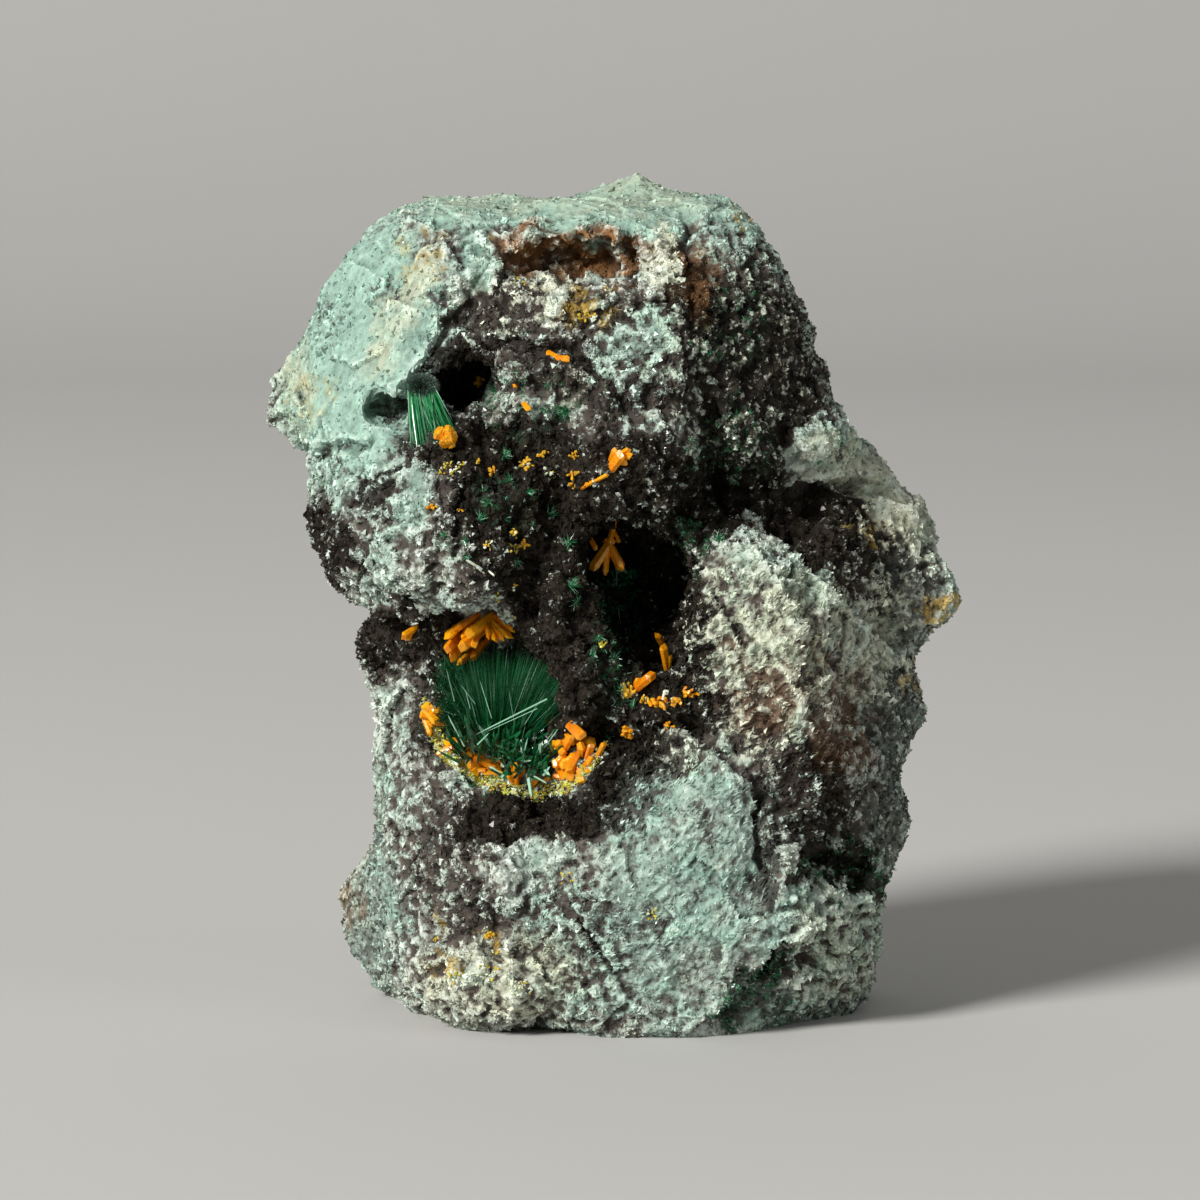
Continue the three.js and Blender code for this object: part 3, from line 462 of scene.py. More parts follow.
def sums(tree, kind, first, second, third=None):
    """A Math node's result; the numbers or sockets go in in order."""
    given = {"i0": first, "i1": second}
    if third is not None:
        given["i2"] = third
    return linked(tree, "ShaderNodeMath", {"operation": kind}, **given).outputs[0]


def stretched(tree, value, low, high):
    """A value mapped to 0 at low and 1 at high."""
    return linked(tree, "ShaderNodeMapRange", Value=value, From_Min=low, From_Max=high).outputs[0]


def blended(tree, share, under, over):
    """Colour under turned into colour over by a share."""
    node = linked(tree, "ShaderNodeMix", {"data_type": "RGBA"}, i0=share, i6=under, i7=over)
    return node.outputs[2]


def speckle(tree, size, low, high, seed=0.0, detail=2.0):
    """Noise from 0 to 1, sharpened between low and high, with spots about size millimetres wide."""
    place = linked(tree, "ShaderNodeTexCoord").outputs["Object"]
    scattered = linked(
        tree, "ShaderNodeTexNoise", {"noise_dimensions": "4D"},
        Vector=place, W=seed, Scale=0.5 / (size * MM), Detail=detail, Roughness=0.6,
    ).outputs["Fac"]
    return stretched(tree, scattered, low, high)


MATRIX_COLOUR = (0.120, 0.102, 0.086, 1)
CALM_COLOUR = (0.19, 0.22, 0.19, 1)
PALE_COLOUR = (0.36, 0.40, 0.345, 1)
# Pale frost of the crests, partly painted highlight.
FROST_AND_HIGHLIGHT_COLOUR = (0.66, 0.72, 0.65, 1)
MINT_COLOUR = (0.295, 0.445, 0.365, 1)
CREAM_COLOUR = (0.54, 0.53, 0.37, 1)
RUST_COLOUR = (0.23, 0.110, 0.040, 1)
# The near-black of bare oxide, which is painted shade where an oxide patch is.
OXIDE_AND_SHADE_COLOUR = (0.019, 0.0145, 0.0095, 1)
OCHRE_COLOUR = (0.52, 0.34, 0.05, 1)
STAIN_COLOUR = (0.30, 0.19, 0.11, 1)
GREEN_COLOUR = (0.035, 0.11, 0.055, 1)
BARE_COVER = 0.50  # how far the crust covers the matrix where nothing else is said
CREST_SPAN = (-0.065, 0.085)  # how far below its surroundings a crest and a hollow lie
COVER_SPAN = (0.75, 1.17)  # cover at which the crust begins, and at which it is closed
GLINT_TONES = (0.80, 1.0)  # tones over which a grain becomes a clean crystal face

ore, ore_in, ore_out = node_group("Ore colours", [("Coat", "value", 0.0)], [("Color", "colour")])
hollow_share = stretched(ore, shares(ore, "hollow"), *CREST_SPAN)
fine = speckle(ore, 0.11, 0.3, 0.7, 1.0, 3.0)
oxide_and_shade_share = shares(ore, "oxide")
cover = sums(ore, "ADD", ore_in.outputs["Coat"], BARE_COVER)
# The crust thins out in the hollows and leaves the dark matrix bare there, which also paints shade into the
# hollows.
for share, weight in [
    (shares(ore, "mint"), 0.27), (shares(ore, "calm"), 0.40), (shares(ore, "cream"), 0.15),
    (shares(ore, "crust"), 0.55), (shares(ore, "rust"), -0.30), (oxide_and_shade_share, -0.80),
    (hollow_share, -0.60), (fine, 0.85), (speckle(ore, 0.45, 0.3, 0.7, 2.0), 0.55),
]:
    cover = sums(ore, "MULTIPLY_ADD", share, weight, cover)
cover = stretched(ore, cover, *COVER_SPAN)
# Matrix turning to oxide; where an oxide patch is painted shade, this darkening is painted shade.
dark = blended(ore, stretched(ore, oxide_and_shade_share, 0.20, 0.70), MATRIX_COLOUR, OXIDE_AND_SHADE_COLOUR)
dark = blended(ore, sums(ore, "MULTIPLY", shares(ore, "calm"), 0.9), dark, CALM_COLOUR)
rust_here = sums(ore, "MULTIPLY", shares(ore, "rust"), speckle(ore, 0.9, 0.2, 0.5, 4.0))
dark = blended(ore, rust_here, dark, RUST_COLOUR)
mint_here = sums(ore, "MULTIPLY_ADD", shares(ore, "mint"), 1.1, speckle(ore, 0.8, 0.45, 0.75, 3.0))
mint_here = linked(ore, "ShaderNodeClamp", Value=mint_here).outputs[0]
pale = blended(ore, mint_here, PALE_COLOUR, MINT_COLOUR)
cream_here = sums(ore, "MULTIPLY", shares(ore, "cream"), speckle(ore, 0.7, 0.25, 0.55, 5.0))
pale = blended(ore, cream_here, pale, CREAM_COLOUR)
pale = blended(ore, sums(ore, "MULTIPLY", rust_here, 0.8), pale, STAIN_COLOUR)
# Pale frost on the crests, thickest on the crust and thin on the oxide: partly the crust's own frost and
# partly painted highlight on the crests.
frost_and_highlight_raw = sums(ore, "MULTIPLY_ADD", shares(ore, "crust"), 0.5, sums(ore, "SUBTRACT", fine, hollow_share))
frost_and_highlight = stretched(ore, frost_and_highlight_raw, 0.25, 1.0)
frost_and_highlight = sums(ore, "MULTIPLY", frost_and_highlight, sums(ore, "MULTIPLY_ADD", oxide_and_shade_share, -0.35, 0.55))
pale = blended(ore, frost_and_highlight, pale, FROST_AND_HIGHLIGHT_COLOUR)
colour = blended(ore, cover, dark, pale)
green_here = sums(ore, "MULTIPLY", shares(ore, "green"), speckle(ore, 0.20, 0.48, 0.66, 7.0))
colour = blended(ore, green_here, colour, GREEN_COLOUR)
ochre_here = sums(ore, "MULTIPLY", shares(ore, "ochre"), speckle(ore, 0.26, 0.44, 0.62, 6.0))
colour = blended(ore, ochre_here, colour, OCHRE_COLOUR)
# Painted shade and painted light: the colour is darkened in the hollows and lightened on the crests.
colour = linked(
    ore, "ShaderNodeHueSaturation", Color=colour, Value=sums(ore, "MULTIPLY_ADD", hollow_share, -0.60, 1.20)
).outputs[0]
ore.links.new(colour, ore_out.inputs["Color"])


def ore_material(name, coat, grain_size, bump, roughness, toned=0.0):
    """Stone or grain material: the shared ore colours over a rough, dull surface. Grains have a tone
    each that moves their coat, and the highest tones are clean crystal faces that glint."""
    material, tree, shader = new_material(name)
    colours = tree.nodes.new("ShaderNodeGroup")
    colours.node_tree = ore
    colours.inputs["Coat"].default_value = coat
    fine = speckle(tree, grain_size, 0.25, 0.75, 11.0, 3.0)
    dull = sums(tree, "MULTIPLY_ADD", fine, -0.2, roughness)
    if toned:
        tone = shares(tree, "tone")
        tree.links.new(sums(tree, "MULTIPLY_ADD", tone, toned, coat - toned / 2), colours.inputs["Coat"])
        tree.links.new(stretched(tree, tone, *GLINT_TONES), shader.inputs["Coat Weight"])
        shader.inputs["Coat Roughness"].default_value = 0.22
        fine = sums(tree, "MULTIPLY_ADD", tone, 0.7, sums(tree, "MULTIPLY", fine, 0.3))
        brightness = sums(tree, "MULTIPLY_ADD", sums(tree, "MULTIPLY", fine, fine), 1.60, 0.42)
    else:
        brightness = sums(tree, "MULTIPLY_ADD", fine, 0.70, 0.66)
    tinted = linked(
        tree, "ShaderNodeHueSaturation", Color=colours.outputs["Color"], Value=brightness
    ).outputs[0]
    tree.links.new(tinted, shader.inputs["Base Color"])
    tree.links.new(dull, shader.inputs["Roughness"])
    shader.inputs["Specular IOR Level"].default_value = 0.15
    raised = linked(tree, "ShaderNodeBump", Strength=bump, Distance=0.08 * MM, Height=fine)
    tree.links.new(raised.outputs["Normal"], shader.inputs["Normal"])
    return material


skin_material = ore_material("Stone skin", -0.05, 0.13, 0.9, 0.85)
skin_points, skin_normals, skin_triangles = mesh_arrays(skin_mesh)
skin_masks = {name: point_values(skin_mesh, name) for name in [*masks, "hollow"]}
skin_tree = BVHTree.FromPolygons(skin_points.tolist(), skin_triangles.tolist())
skin_mesh.transform(Matrix.Scale(MM, 4))
place_piece("stone_skin", skin_mesh, skin_material, ["stone"])


# Druse: the crust of tiny crystals over the whole stone, sharp sugary chips about a seventh of a
# millimetre long. They coat the crests more than the hollows, and below in front they lie as
# short slanting flakes.
def unit(vectors):
    """Rows of vectors, each at length 1."""
    return vectors / np.maximum(np.linalg.norm(vectors, axis=1, keepdims=True), 1e-9)


class Spread:
    """Places scattered over the skin by a weight, with the normal and the minerals' shares at each."""

    def __init__(self, count, weights, seed):
        chance = np.random.default_rng(seed)
        corners = skin_points[skin_triangles]
        areas = np.linalg.norm(
            np.cross(corners[:, 1] - corners[:, 0], corners[:, 2] - corners[:, 0]), axis=1
        )
        totals = np.cumsum(areas * weights[skin_triangles].mean(axis=1))
        picks = np.searchsorted(totals, chance.random(count) * totals[-1])
        first, second = chance.random(count), chance.random(count)
        over = first + second > 1
        first[over], second[over] = 1 - first[over], 1 - second[over]
        parts = np.stack([1 - first - second, first, second], axis=1)
        ends = skin_triangles[picks]
        self.count = count
        self.chance = chance
        self.places = (skin_points[ends] * parts[:, :, None]).sum(axis=1)
        self.normals = unit((skin_normals[ends] * parts[:, :, None]).sum(axis=1))
        self.masks = {name: (values[ends] * parts).sum(axis=1) for name, values in skin_masks.items()}


def turned_frames(axes, chance):
    """Three directions for each crystal: two across it, turned at random, and its axis."""
    guide = np.where(np.abs(axes[:, 2:]) < 0.9, [[0.0, 0.0, 1.0]], [[1.0, 0.0, 0.0]])
    side = unit(np.cross(guide, axes))
    other = np.cross(axes, side)
    turn = chance.random(len(axes))[:, None] * 2 * math.pi
    first = side * np.cos(turn) + other * np.sin(turn)
    return np.stack([first, np.cross(axes, first), axes], axis=1)


class Crystals:
    """A growing mesh of many small crystals, each one shape stretched, turned and set in its place.
    Every crystal brings its own values, such as tone, for its material to read."""

    def __init__(self):
        self.points, self.faces, self.values, self.count = [], [], {}, 0

    def add(self, shape, places, frames, sizes, **values):
        shape_points, shape_faces = shape
        local = shape_points[None] * sizes[:, None, :]
        placed = places[:, None, :] + np.einsum("nkj,njc->nkc", local, frames)
        kinds, number = len(shape_points), len(places)
        starts = self.count + np.arange(number) * kinds
        self.points.append(placed.reshape(-1, 3))
        for face in shape_faces:
            self.faces.append(starts[:, None] + np.array(face)[None])
        for name, value in values.items():
            spread = value if np.ndim(value) else np.full(number, value)
            self.values.setdefault(name, []).append(np.repeat(spread, kinds))
        self.count += number * kinds

    def mesh(self, name):
        made = bpy.data.meshes.new(name)
        points = np.concatenate(self.points)
        points[:, 2] = np.maximum(points[:, 2], 0)
        faces = [face for block in self.faces for face in block.tolist()]
        made.from_pydata((points * MM).tolist(), [], faces)
        for label, parts in self.values.items():
            add_values(made, label, np.concatenate(parts))
        return made

    def place(self, name, material, slot, *replaced):
        place_piece(name, self.mesh(name), material, replaced)


# A chip like the corner of a cube: three sides and a point, with its base in the stone
CHIP = (
    np.array([(1.0, 0, -0.3), (-0.5, 0.87, -0.3), (-0.5, -0.87, -0.3), (0, 0, 0.7)]),
    [(0, 1, 3), (1, 2, 3), (2, 0, 3), (2, 1, 0)],
)
FLAKE_SLANT = unit(np.array([[run, -0.30, rise]]))


def druse(name, count, weights, seed, size, coat, toned):
    """Scatters one coat of chips over the skin and places it as a piece."""
    spread = Spread(count, weights, seed)
    chance = spread.chance
    wild = chance.normal(size=(count, 3))
    axes = unit(spread.normals + 0.55 * wild)
    flaky = spread.masks["flaky"]
    slanted = unit(spread.normals * 0.30 + FLAKE_SLANT * 1.2 + 0.40 * wild)
    axes = unit(axes * (1 - flaky[:, None]) + slanted * flaky[:, None])
    width = size * (0.5 + 1.1 * chance.random(count) ** 2) * (1 - 0.40 * flaky)
    sizes = np.stack([width, width * (0.6 + 0.4 * chance.random(count)), width * (1 + 2.0 * flaky)], axis=1)
    chips = Crystals()
    frames = turned_frames(axes, chance)
    chips.add(CHIP, spread.places, frames, sizes, tone=chance.random(count), **spread.masks)
    chips.place(name, ore_material(name, coat, 0.13, 0.4, 0.75, toned), "stone")


front_here = 1 - faded(skin_points[:, 1], 0.0, 3.5)
crest_here = faded(-skin_masks["hollow"], -0.06, 0.06)
dark_here = np.clip(skin_masks["oxide"], 0, 1)
clumps = 0.2 + 0.8 * faded(swell(skin_points, 0.7, 61), -0.25, 0.25)
bare_here = 1 - 0.92 * skin_masks["calm"]
pale_weight = front_here * clumps * (0.05 + crest_here) * (1.05 - 0.75 * dark_here) * bare_here
# The dark granules follow the oxide patches, so some lie where those patches are painted shade.
oxide_weight = front_here * (0.02 + dark_here)
around_weight = (1 - front_here) * clumps * (0.25 + crest_here) * bare_here
# Coats: how many chips, where, seed, size, how much crust covers them, and how much that varies
COATS = {
    "pale_druse": (49000, pale_weight, 5, 0.11, 0.10, 0.5),
    "oxide_granules": (42000, oxide_weight, 6, 0.15, 0.02, 0.6),
    "druse_around": (36000, around_weight, 7, 0.17, 0.05, 0.45),
}
for name, coat_values in COATS.items():
    druse(name, *coat_values)


# Malachite: silky emerald needles. A dense fan of them fills the main pocket from its floor, a sheaf
# hangs beside the upper hole under a rounded grey-green head, and small tufts sit in the vug and on
# the oxide. They grew from the stone and are rooted in it.
NEEDLE = (
    np.array([
        (1, 0, 0), (-0.5, 0.87, 0), (-0.5, -0.87, 0), (0.85, 0, 0.8), (-0.42, 0.74, 0.8), (-0.42, -0.74, 0.8),
        (0, 0, 1.0),
    ]),
    [(0, 1, 4, 3), (1, 2, 5, 4), (2, 0, 3, 5), (3, 4, 6), (4, 5, 6), (5, 3, 6), (2, 1, 0)],
)
SPIKE = (
    np.array([(1, 0, 0), (-0.5, 0.87, 0), (-0.5, -0.87, 0), (0, 0, 1.0)]),
    [(0, 1, 3), (1, 2, 3), (2, 0, 3), (2, 1, 0)],
)


def sight(x, z):
    """The way from the eye through x, z in the picture, which gains one unit in y."""
    through = PICTURE_MIDDLE + (x - PICTURE_X) * PICTURE_ACROSS + (z - PICTURE_Z) * PICTURE_UP
    return (through - EYE) / (through - EYE)[1]


def at_depth(x, z, y):
    """The point behind x, z of the picture that lies at a depth y."""
    return EYE + sight(x, z) * (y - EYE[1])


def on_skin(x, z):
    """Where the sight line through x, z first meets the skin, and the skin's normal there."""
    place, normal, _, _ = skin_tree.ray_cast(Vector(EYE), Vector(sight(x, z)).normalized())
    return np.array(place), np.array(normal)


def node_box(node):
    """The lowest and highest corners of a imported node's box, in millimetres."""
    return [np.array(corner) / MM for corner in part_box(node)]


SILK_DARK, SILK_BRIGHT = (0.002, 0.020, 0.005, 1), (0.012, 0.270, 0.080, 1)
SILK_CLEAR, SILK_BAND = (0.40, 0.68, 0.50, 1), (0.02, 0.22, 0.07, 1)
malachite_material, tree, shader = new_material("Malachite needles")
tone = shares(tree, "tone")
silk = blended(tree, tone, SILK_DARK, SILK_BRIGHT)
silk = blended(tree, stretched(tree, tone, 0.90, 1.0), silk, SILK_CLEAR)
banded = speckle(tree, 0.12, 0.3, 0.7, 15.0)
silk = blended(tree, sums(tree, "MULTIPLY", banded, 0.2), silk, SILK_BAND)
tree.links.new(silk, shader.inputs["Base Color"])
tree.links.new(sums(tree, "MULTIPLY_ADD", banded, 0.15, 0.20), shader.inputs["Roughness"])
shader.inputs["IOR"].default_value = 1.75


def fan(crystals, shape, middle, spread, axis, opening, count, length, width, seed, tones, pale=0.0,
        splay=0.25, growth=0.0):
    """A fan of needles from roots spread round a middle. Splay leans them outward from the middle,
    opening leans them at random, and growth makes those on the right longer."""
    chance = np.random.default_rng(seed)
    roots = middle + (chance.random((count, 3)) * 2 - 1) * spread
    axes = np.array(axis)[None] + splay * (roots - middle) + opening * chance.normal(size=(count, 3))
    lengths = length * (0.65 + 0.4 * chance.random(count)) * (1 + growth * (roots - middle)[:, 0])
    widths = width * (0.6 + 0.8 * chance.random(count) ** 2) / 2
    needle_tones = tones[0] + (tones[1] - tones[0]) * chance.random(count)
    needle_tones[chance.random(count) < pale] = 1.0
    sizes = np.stack([widths, widths, lengths], axis=1)
    crystals.add(shape, roots, turned_frames(unit(axes), chance), sizes, tone=needle_tones)


# The fan in the pocket, from back to front: silky fibres, short stout needles at its foot, brighter
# fibres, moss on the left, and glassy prisms. Each row holds what fan() takes after the crystals.
spray_low, spray_high = node_box("malachite_pocket_spray")
spray_foot = np.array(((spray_low[0] + spray_high[0]) / 2 + 0.15, spray_high[1] - 1.3, spray_low[2] + 0.1))
SPRAY_FANS = [
    (SPIKE, spray_foot + (0.3, 0.0, 0.0), (0.8, 0.7, 0.4), (0.22, -0.34, 1.0), 0.05,
     4200, 4.0, 0.050, 51, (0.0, 0.5), 0.012, np.array((0.74, 0.35, 0.0)), 0.12),
    (NEEDLE, at_depth(-3.3, 11.3, spray_low[1] + 0.5), (1.1, 0.3, 0.6), (0.1, -0.7, 0.7), 0.5,
     90, 0.9, 0.14, 55, (0.0, 0.5), 0.08, np.array((0.3, 0.2, 0.3))),
    (SPIKE, spray_foot + (0.3, -0.2, 0.0), (0.8, 0.6, 0.4), (0.26, -0.36, 1.0), 0.12,
     700, 4.6, 0.040, 54, (0.3, 0.85), 0.05, np.array((0.80, 0.35, 0.0)), 0.12),
    (SPIKE, spray_foot + (-1.0, -0.4, 1.9), (1.1, 0.7, 1.3), (-0.3, -0.8, 0.6), 0.55,
     3200, 0.9, 0.05, 52, (0.0, 0.4), 0.012, 0.2),
    (NEEDLE, spray_foot + (0.2, -1.2, -0.2), (1.7, 0.5, 0.5), (0.1, -0.7, 0.9), 0.45,
     110, 1.6, 0.15, 53, (0.0, 0.45), 0.05, np.array((0.4, 0.2, 0.4))),
]
spray = Crystals()
for fan_values in SPRAY_FANS:
    fan(spray, *fan_values)
# The long clear needles that cross the fan: x and z of their two ends in the picture, and their width
CLEAR_NEEDLES = [
    (-6.7, 15.3, -6.35, 13.9, 0.06), (-5.3, 14.8, -4.8, 13.2, 0.06), (-4.1, 14.4, -3.85, 12.9, 0.06),
    (-5.5, 12.5, -2.5, 14.0, 0.09), (-5.1, 12.6, -2.9, 13.6, 0.05), (-2.0, 12.8, -2.9, 11.6, 0.09),
    (-2.2, 12.7, -3.3, 11.2, 0.05), (-3.3, 12.4, -3.6, 11.1, 0.10), (-6.1, 14.6, -5.5, 13.8, 0.05),
    (-3.4, 12.9, -3.6, 12.2, 0.05), (-4.9, 12.6, -5.4, 12.1, 0.08), (-5.9, 14.4, -5.7, 13.6, 0.04),
]
CLEAR_TONE = 0.97
for index, (x0, z0, x1, z1, width) in enumerate(CLEAR_NEEDLES):
    tip, root = at_depth(x0, z0, spray_low[1] + 0.2), at_depth(x1, z1, spray_low[1] + 0.6)
    frames = turned_frames(unit((tip - root)[None]), np.random.default_rng(60 + index))
    sizes = np.array([[width * 0.4, width * 0.4, np.linalg.norm(tip - root)]])
    spray.add(NEEDLE, root[None], frames, sizes, tone=CLEAR_TONE)
spray.place("malachite_spray", malachite_material, "malachite", "malachite_pocket_spray")

# The sheaf beside the upper hole: its fibres, and the rounded satin head that they grow from
sheaf_low, sheaf_high = node_box("malachite_sheaf")
sheaf_top = np.array((sheaf_low[0] + 0.95, sheaf_low[1] + 1.0, sheaf_high[2] - 0.75))
# Bundles: seed, the way they hang, how many fibres, length
SHEAF_BUNDLES = [(71, (0.14, -0.16, -1.0), 1700, 3.2), (72, (0.42, -0.16, -1.0), 900, 2.5)]
sheaf = Crystals()
for seed, axis, count, length in SHEAF_BUNDLES:
    fan(
        sheaf, SPIKE, sheaf_top, np.array((0.50, 0.36, 0.15)), axis, 0.055, count, length, 0.08, seed,
        (0.5, 0.91), 0.06, np.array((0.0, 0.2, 0.0)),
    )
sheaf.place("malachite_sheaf_fibres", malachite_material, "malachite", "malachite_sheaf")

HEAD_SIZE = np.array((0.82, 0.66, 0.64))
HEAD_SPIKES, HEAD_SPIKE_WIDTH = 3600, 0.05
HEAD_DARK, HEAD_BRIGHT = (0.020, 0.040, 0.029, 1), (0.13, 0.20, 0.155, 1)
HEAD_GLINT = (0.40, 0.50, 0.43, 1)
head = Crystals()
chance = np.random.default_rng(91)
ways = unit(chance.normal(size=(HEAD_SPIKES, 3)))
reaches = np.linalg.norm(ways * HEAD_SIZE, axis=1) * (0.86 + 0.16 * chance.random(HEAD_SPIKES))
head_middles = np.tile(sheaf_top + (0.04, -0.10, -0.06), (HEAD_SPIKES, 1))
head_widths = np.full(HEAD_SPIKES, HEAD_SPIKE_WIDTH)
head.add(
    SPIKE, head_middles, turned_frames(unit(ways * HEAD_SIZE), chance),
    np.stack([head_widths, head_widths, reaches], axis=1), tone=chance.random(HEAD_SPIKES),
)
head_material, tree, shader = new_material("Malachite head")
satin = blended(tree, shares(tree, "tone"), HEAD_DARK, HEAD_BRIGHT)
satin = blended(tree, stretched(tree, shares(tree, "tone"), 0.94, 1.0), satin, HEAD_GLINT)
tree.links.new(satin, shader.inputs["Base Color"])
shader.inputs["Roughness"].default_value = 0.4
head.place("malachite_sheaf_head", head_material, "malachite")

# Small tufts: in the vug, down its left side, and over the oxide in front, each x, z, length and count
TUFT_SPOTS = [
    (-1.5, 18.7, 0.55, 40), (-1.3, 18.0, 0.40, 26), (-0.3, 16.6, 0.4, 20), (0.3, 15.7, 0.4, 24),
    (0.2, 18.7, 0.7, 14), (0.4, 17.8, 0.6, 12), (-0.1, 14.9, 0.35, 24), (0.6, 14.4, 0.35, 20),
    (1.1, 13.8, 0.3, 20), (-0.6, 15.8, 0.3, 20), (-4.3, 24.1, 0.45, 30), (-4.1, 23.1, 0.45, 30),
    (-1.7, 26.0, 0.6, 40), (-4.9, 22.2, 0.5, 30), (-5.3, 21.4, 0.45, 26), (-5.9, 20.6, 0.4, 22),
    (-3.3, 22.6, 0.45, 22), (-2.4, 21.7, 0.5, 26), (-1.6, 20.5, 0.45, 26), (-3.8, 19.8, 0.4, 22),
    (-5.8, 19.9, 0.35, 20), (4.6, 20.6, 0.5, 26), (5.2, 24.4, 0.5, 26), (-4.7, 26.9, 0.4, 16),
    (0.1, 12.4, 0.4, 16), (-6.8, 20.9, 0.3, 14),
]
tufts = Crystals()
vug_low, vug_high = node_box("malachite_vug_crystals")
fan(
    tufts, NEEDLE, (vug_low + vug_high) / 2 + np.array((0, 0.5, 0)), np.array((0.45, 0.3, 0.7)),
    (0.05, -1.0, 0.4), 0.4, 40, 1.2, 0.16, 81, (0.1, 0.8), 0.08, 0.5,
)
for index, (x, z, length, count) in enumerate(TUFT_SPOTS):
    root, normal = on_skin(x, z)
    fan(
        tufts, SPIKE, root, np.full(3, 0.08), normal * 0.8 + np.array((0, -0.3, 0.2)), 0.55,
        round(count * 1.5), length, 0.05, 90 + index, (0.55, 0.98), 0.25,
    )
GREEN_TUFTS = 520
green_spread = Spread(GREEN_TUFTS, front_here * skin_masks["green"] ** 2 * (0.2 + crest_here), 85)
for index in range(green_spread.count):
    fan(
        tufts, SPIKE, green_spread.places[index], np.full(3, 0.05), green_spread.normals[index], 0.5,
        9, 0.24, 0.045, 130 + index, (0.2, 0.95), 0.15,
    )
tufts.place("malachite_tufts", malachite_material, "malachite", "malachite_vug_crystals")


# Kasolite: glassy orange blades with chisel tips, and yellow specks of the same mineral. Each cluster
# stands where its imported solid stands, rooted in the stone; the crescent on the pocket's lower rim is
# a crust of blades bedded in fine yellow-green and colourless crystals.
BLADE_THICKNESS = 0.62  # of its width
BLADE_RING = [(1, 0), (0.62, 1), (-0.62, 1), (-1, 0), (-0.62, -1), (0.62, -1)]
BLADE = (
    np.array(
        [(x * 0.85, y * 0.85 * BLADE_THICKNESS, 0.0) for x, y in BLADE_RING]
        + [(x, y * BLADE_THICKNESS, 0.86) for x, y in BLADE_RING]
        + [(0.60, 0, 1.0), (-0.60, 0, 1.0)]
    ),
    [(k, (k + 1) % 6, 6 + (k + 1) % 6, 6 + k) for k in range(6)]
    + [(7, 8, 13, 12), (10, 11, 12, 13), (6, 7, 12), (11, 6, 12), (8, 9, 13), (9, 10, 13)]
    + [(5, 4, 3, 2, 1, 0)],
)
BLADE_TIPS = np.concatenate([np.zeros(6), np.ones(8)])

AMBER_DARK, AMBER_BRIGHT, AMBER_TIP = (0.64, 0.140, 0.002, 1), (0.95, 0.355, 0.003, 1), (1.0, 0.54, 0.010, 1)
LEMON_COLOUR, CLEAR_COLOUR = (0.62, 0.60, 0.075, 1), (0.84, 0.86, 0.68, 1)
kasolite_material, tree, shader = new_material("Kasolite blades")
amber = blended(tree, shares(tree, "tone"), AMBER_DARK, AMBER_BRIGHT)
amber = blended(tree, sums(tree, "MULTIPLY", shares(tree, "tip"), 0.3), amber, AMBER_TIP)
amber = blended(tree, shares(tree, "lemon"), amber, LEMON_COLOUR)
amber = blended(tree, shares(tree, "pale"), amber, CLEAR_COLOUR)
veined = speckle(tree, 0.10, 0.3, 0.7, 21.0)
amber = linked(
    tree, "ShaderNodeHueSaturation", Color=amber, Value=sums(tree, "MULTIPLY_ADD", veined, 0.30, 0.85)
).outputs[0]
tree.links.new(amber, shader.inputs["Base Color"])
tree.links.new(sums(tree, "MULTIPLY_ADD", veined, 0.22, 0.18), shader.inputs["Roughness"])
ribbed = speckle(tree, 0.07, 0.2, 0.8, 22.0)
furrowed = linked(tree, "ShaderNodeBump", Strength=0.35, Distance=0.03 * MM, Height=ribbed)
tree.links.new(furrowed.outputs["Normal"], shader.inputs["Normal"])
shader.inputs["IOR"].default_value = 1.7
shader.inputs["Specular IOR Level"].default_value = 0.35
shader.inputs["Subsurface Weight"].default_value = 0.35
shader.inputs["Subsurface Radius"].default_value = (1.0, 0.35, 0.05)
shader.inputs["Subsurface Scale"].default_value = 0.3 * MM


def blades(crystals, seats, axes, lengths, widths, chance, lemon=0.0, pale=0.0, sink=0.25):
    """Blades on given seats, each a little sunk, and some of them yellow or colourless."""
    count = len(seats)
    axes = unit(np.asarray(axes, dtype=float))
    sizes = np.stack([widths / 2, widths / 2, lengths], axis=1)
    yellow = lemon * chance.random(count) ** 0.3
    white = (chance.random(count) < pale).astype(float)
    crystals.add(
        BLADE, seats - axes * lengths[:, None] * sink, turned_frames(axes, chance), sizes,
        tone=chance.random(count), lemon=yellow, pale=white,
    )
    crystals.values.setdefault("tip", []).append(np.tile(BLADE_TIPS, count))


def bunch(crystals, x, z, reach, axis, opening, count, length, width, seed, lemon=0.0, pale=0.0):
    """Blades seated on the skin round a spot of the front, fanned about an axis."""
    chance = np.random.default_rng(seed)
    seats, ways = [], []
    for _ in range(count):
        angle, far = chance.random() * 2 * math.pi, math.sqrt(chance.random())
        across, up = far * math.cos(angle), far * math.sin(angle)
        seats.append(on_skin(x + across * reach[0], z + up * reach[1])[0])
        scatter = 0.6 * np.array((across, 0, up)) + 0.7 * chance.normal(size=3)
        ways.append(np.array(axis) + opening * scatter)
    lengths = length * (0.6 + 0.5 * chance.random(count))
    widths = width * (0.65 + 0.6 * chance.random(count))
    blades(crystals, np.array(seats), np.array(ways), lengths, widths, chance, lemon, pale)


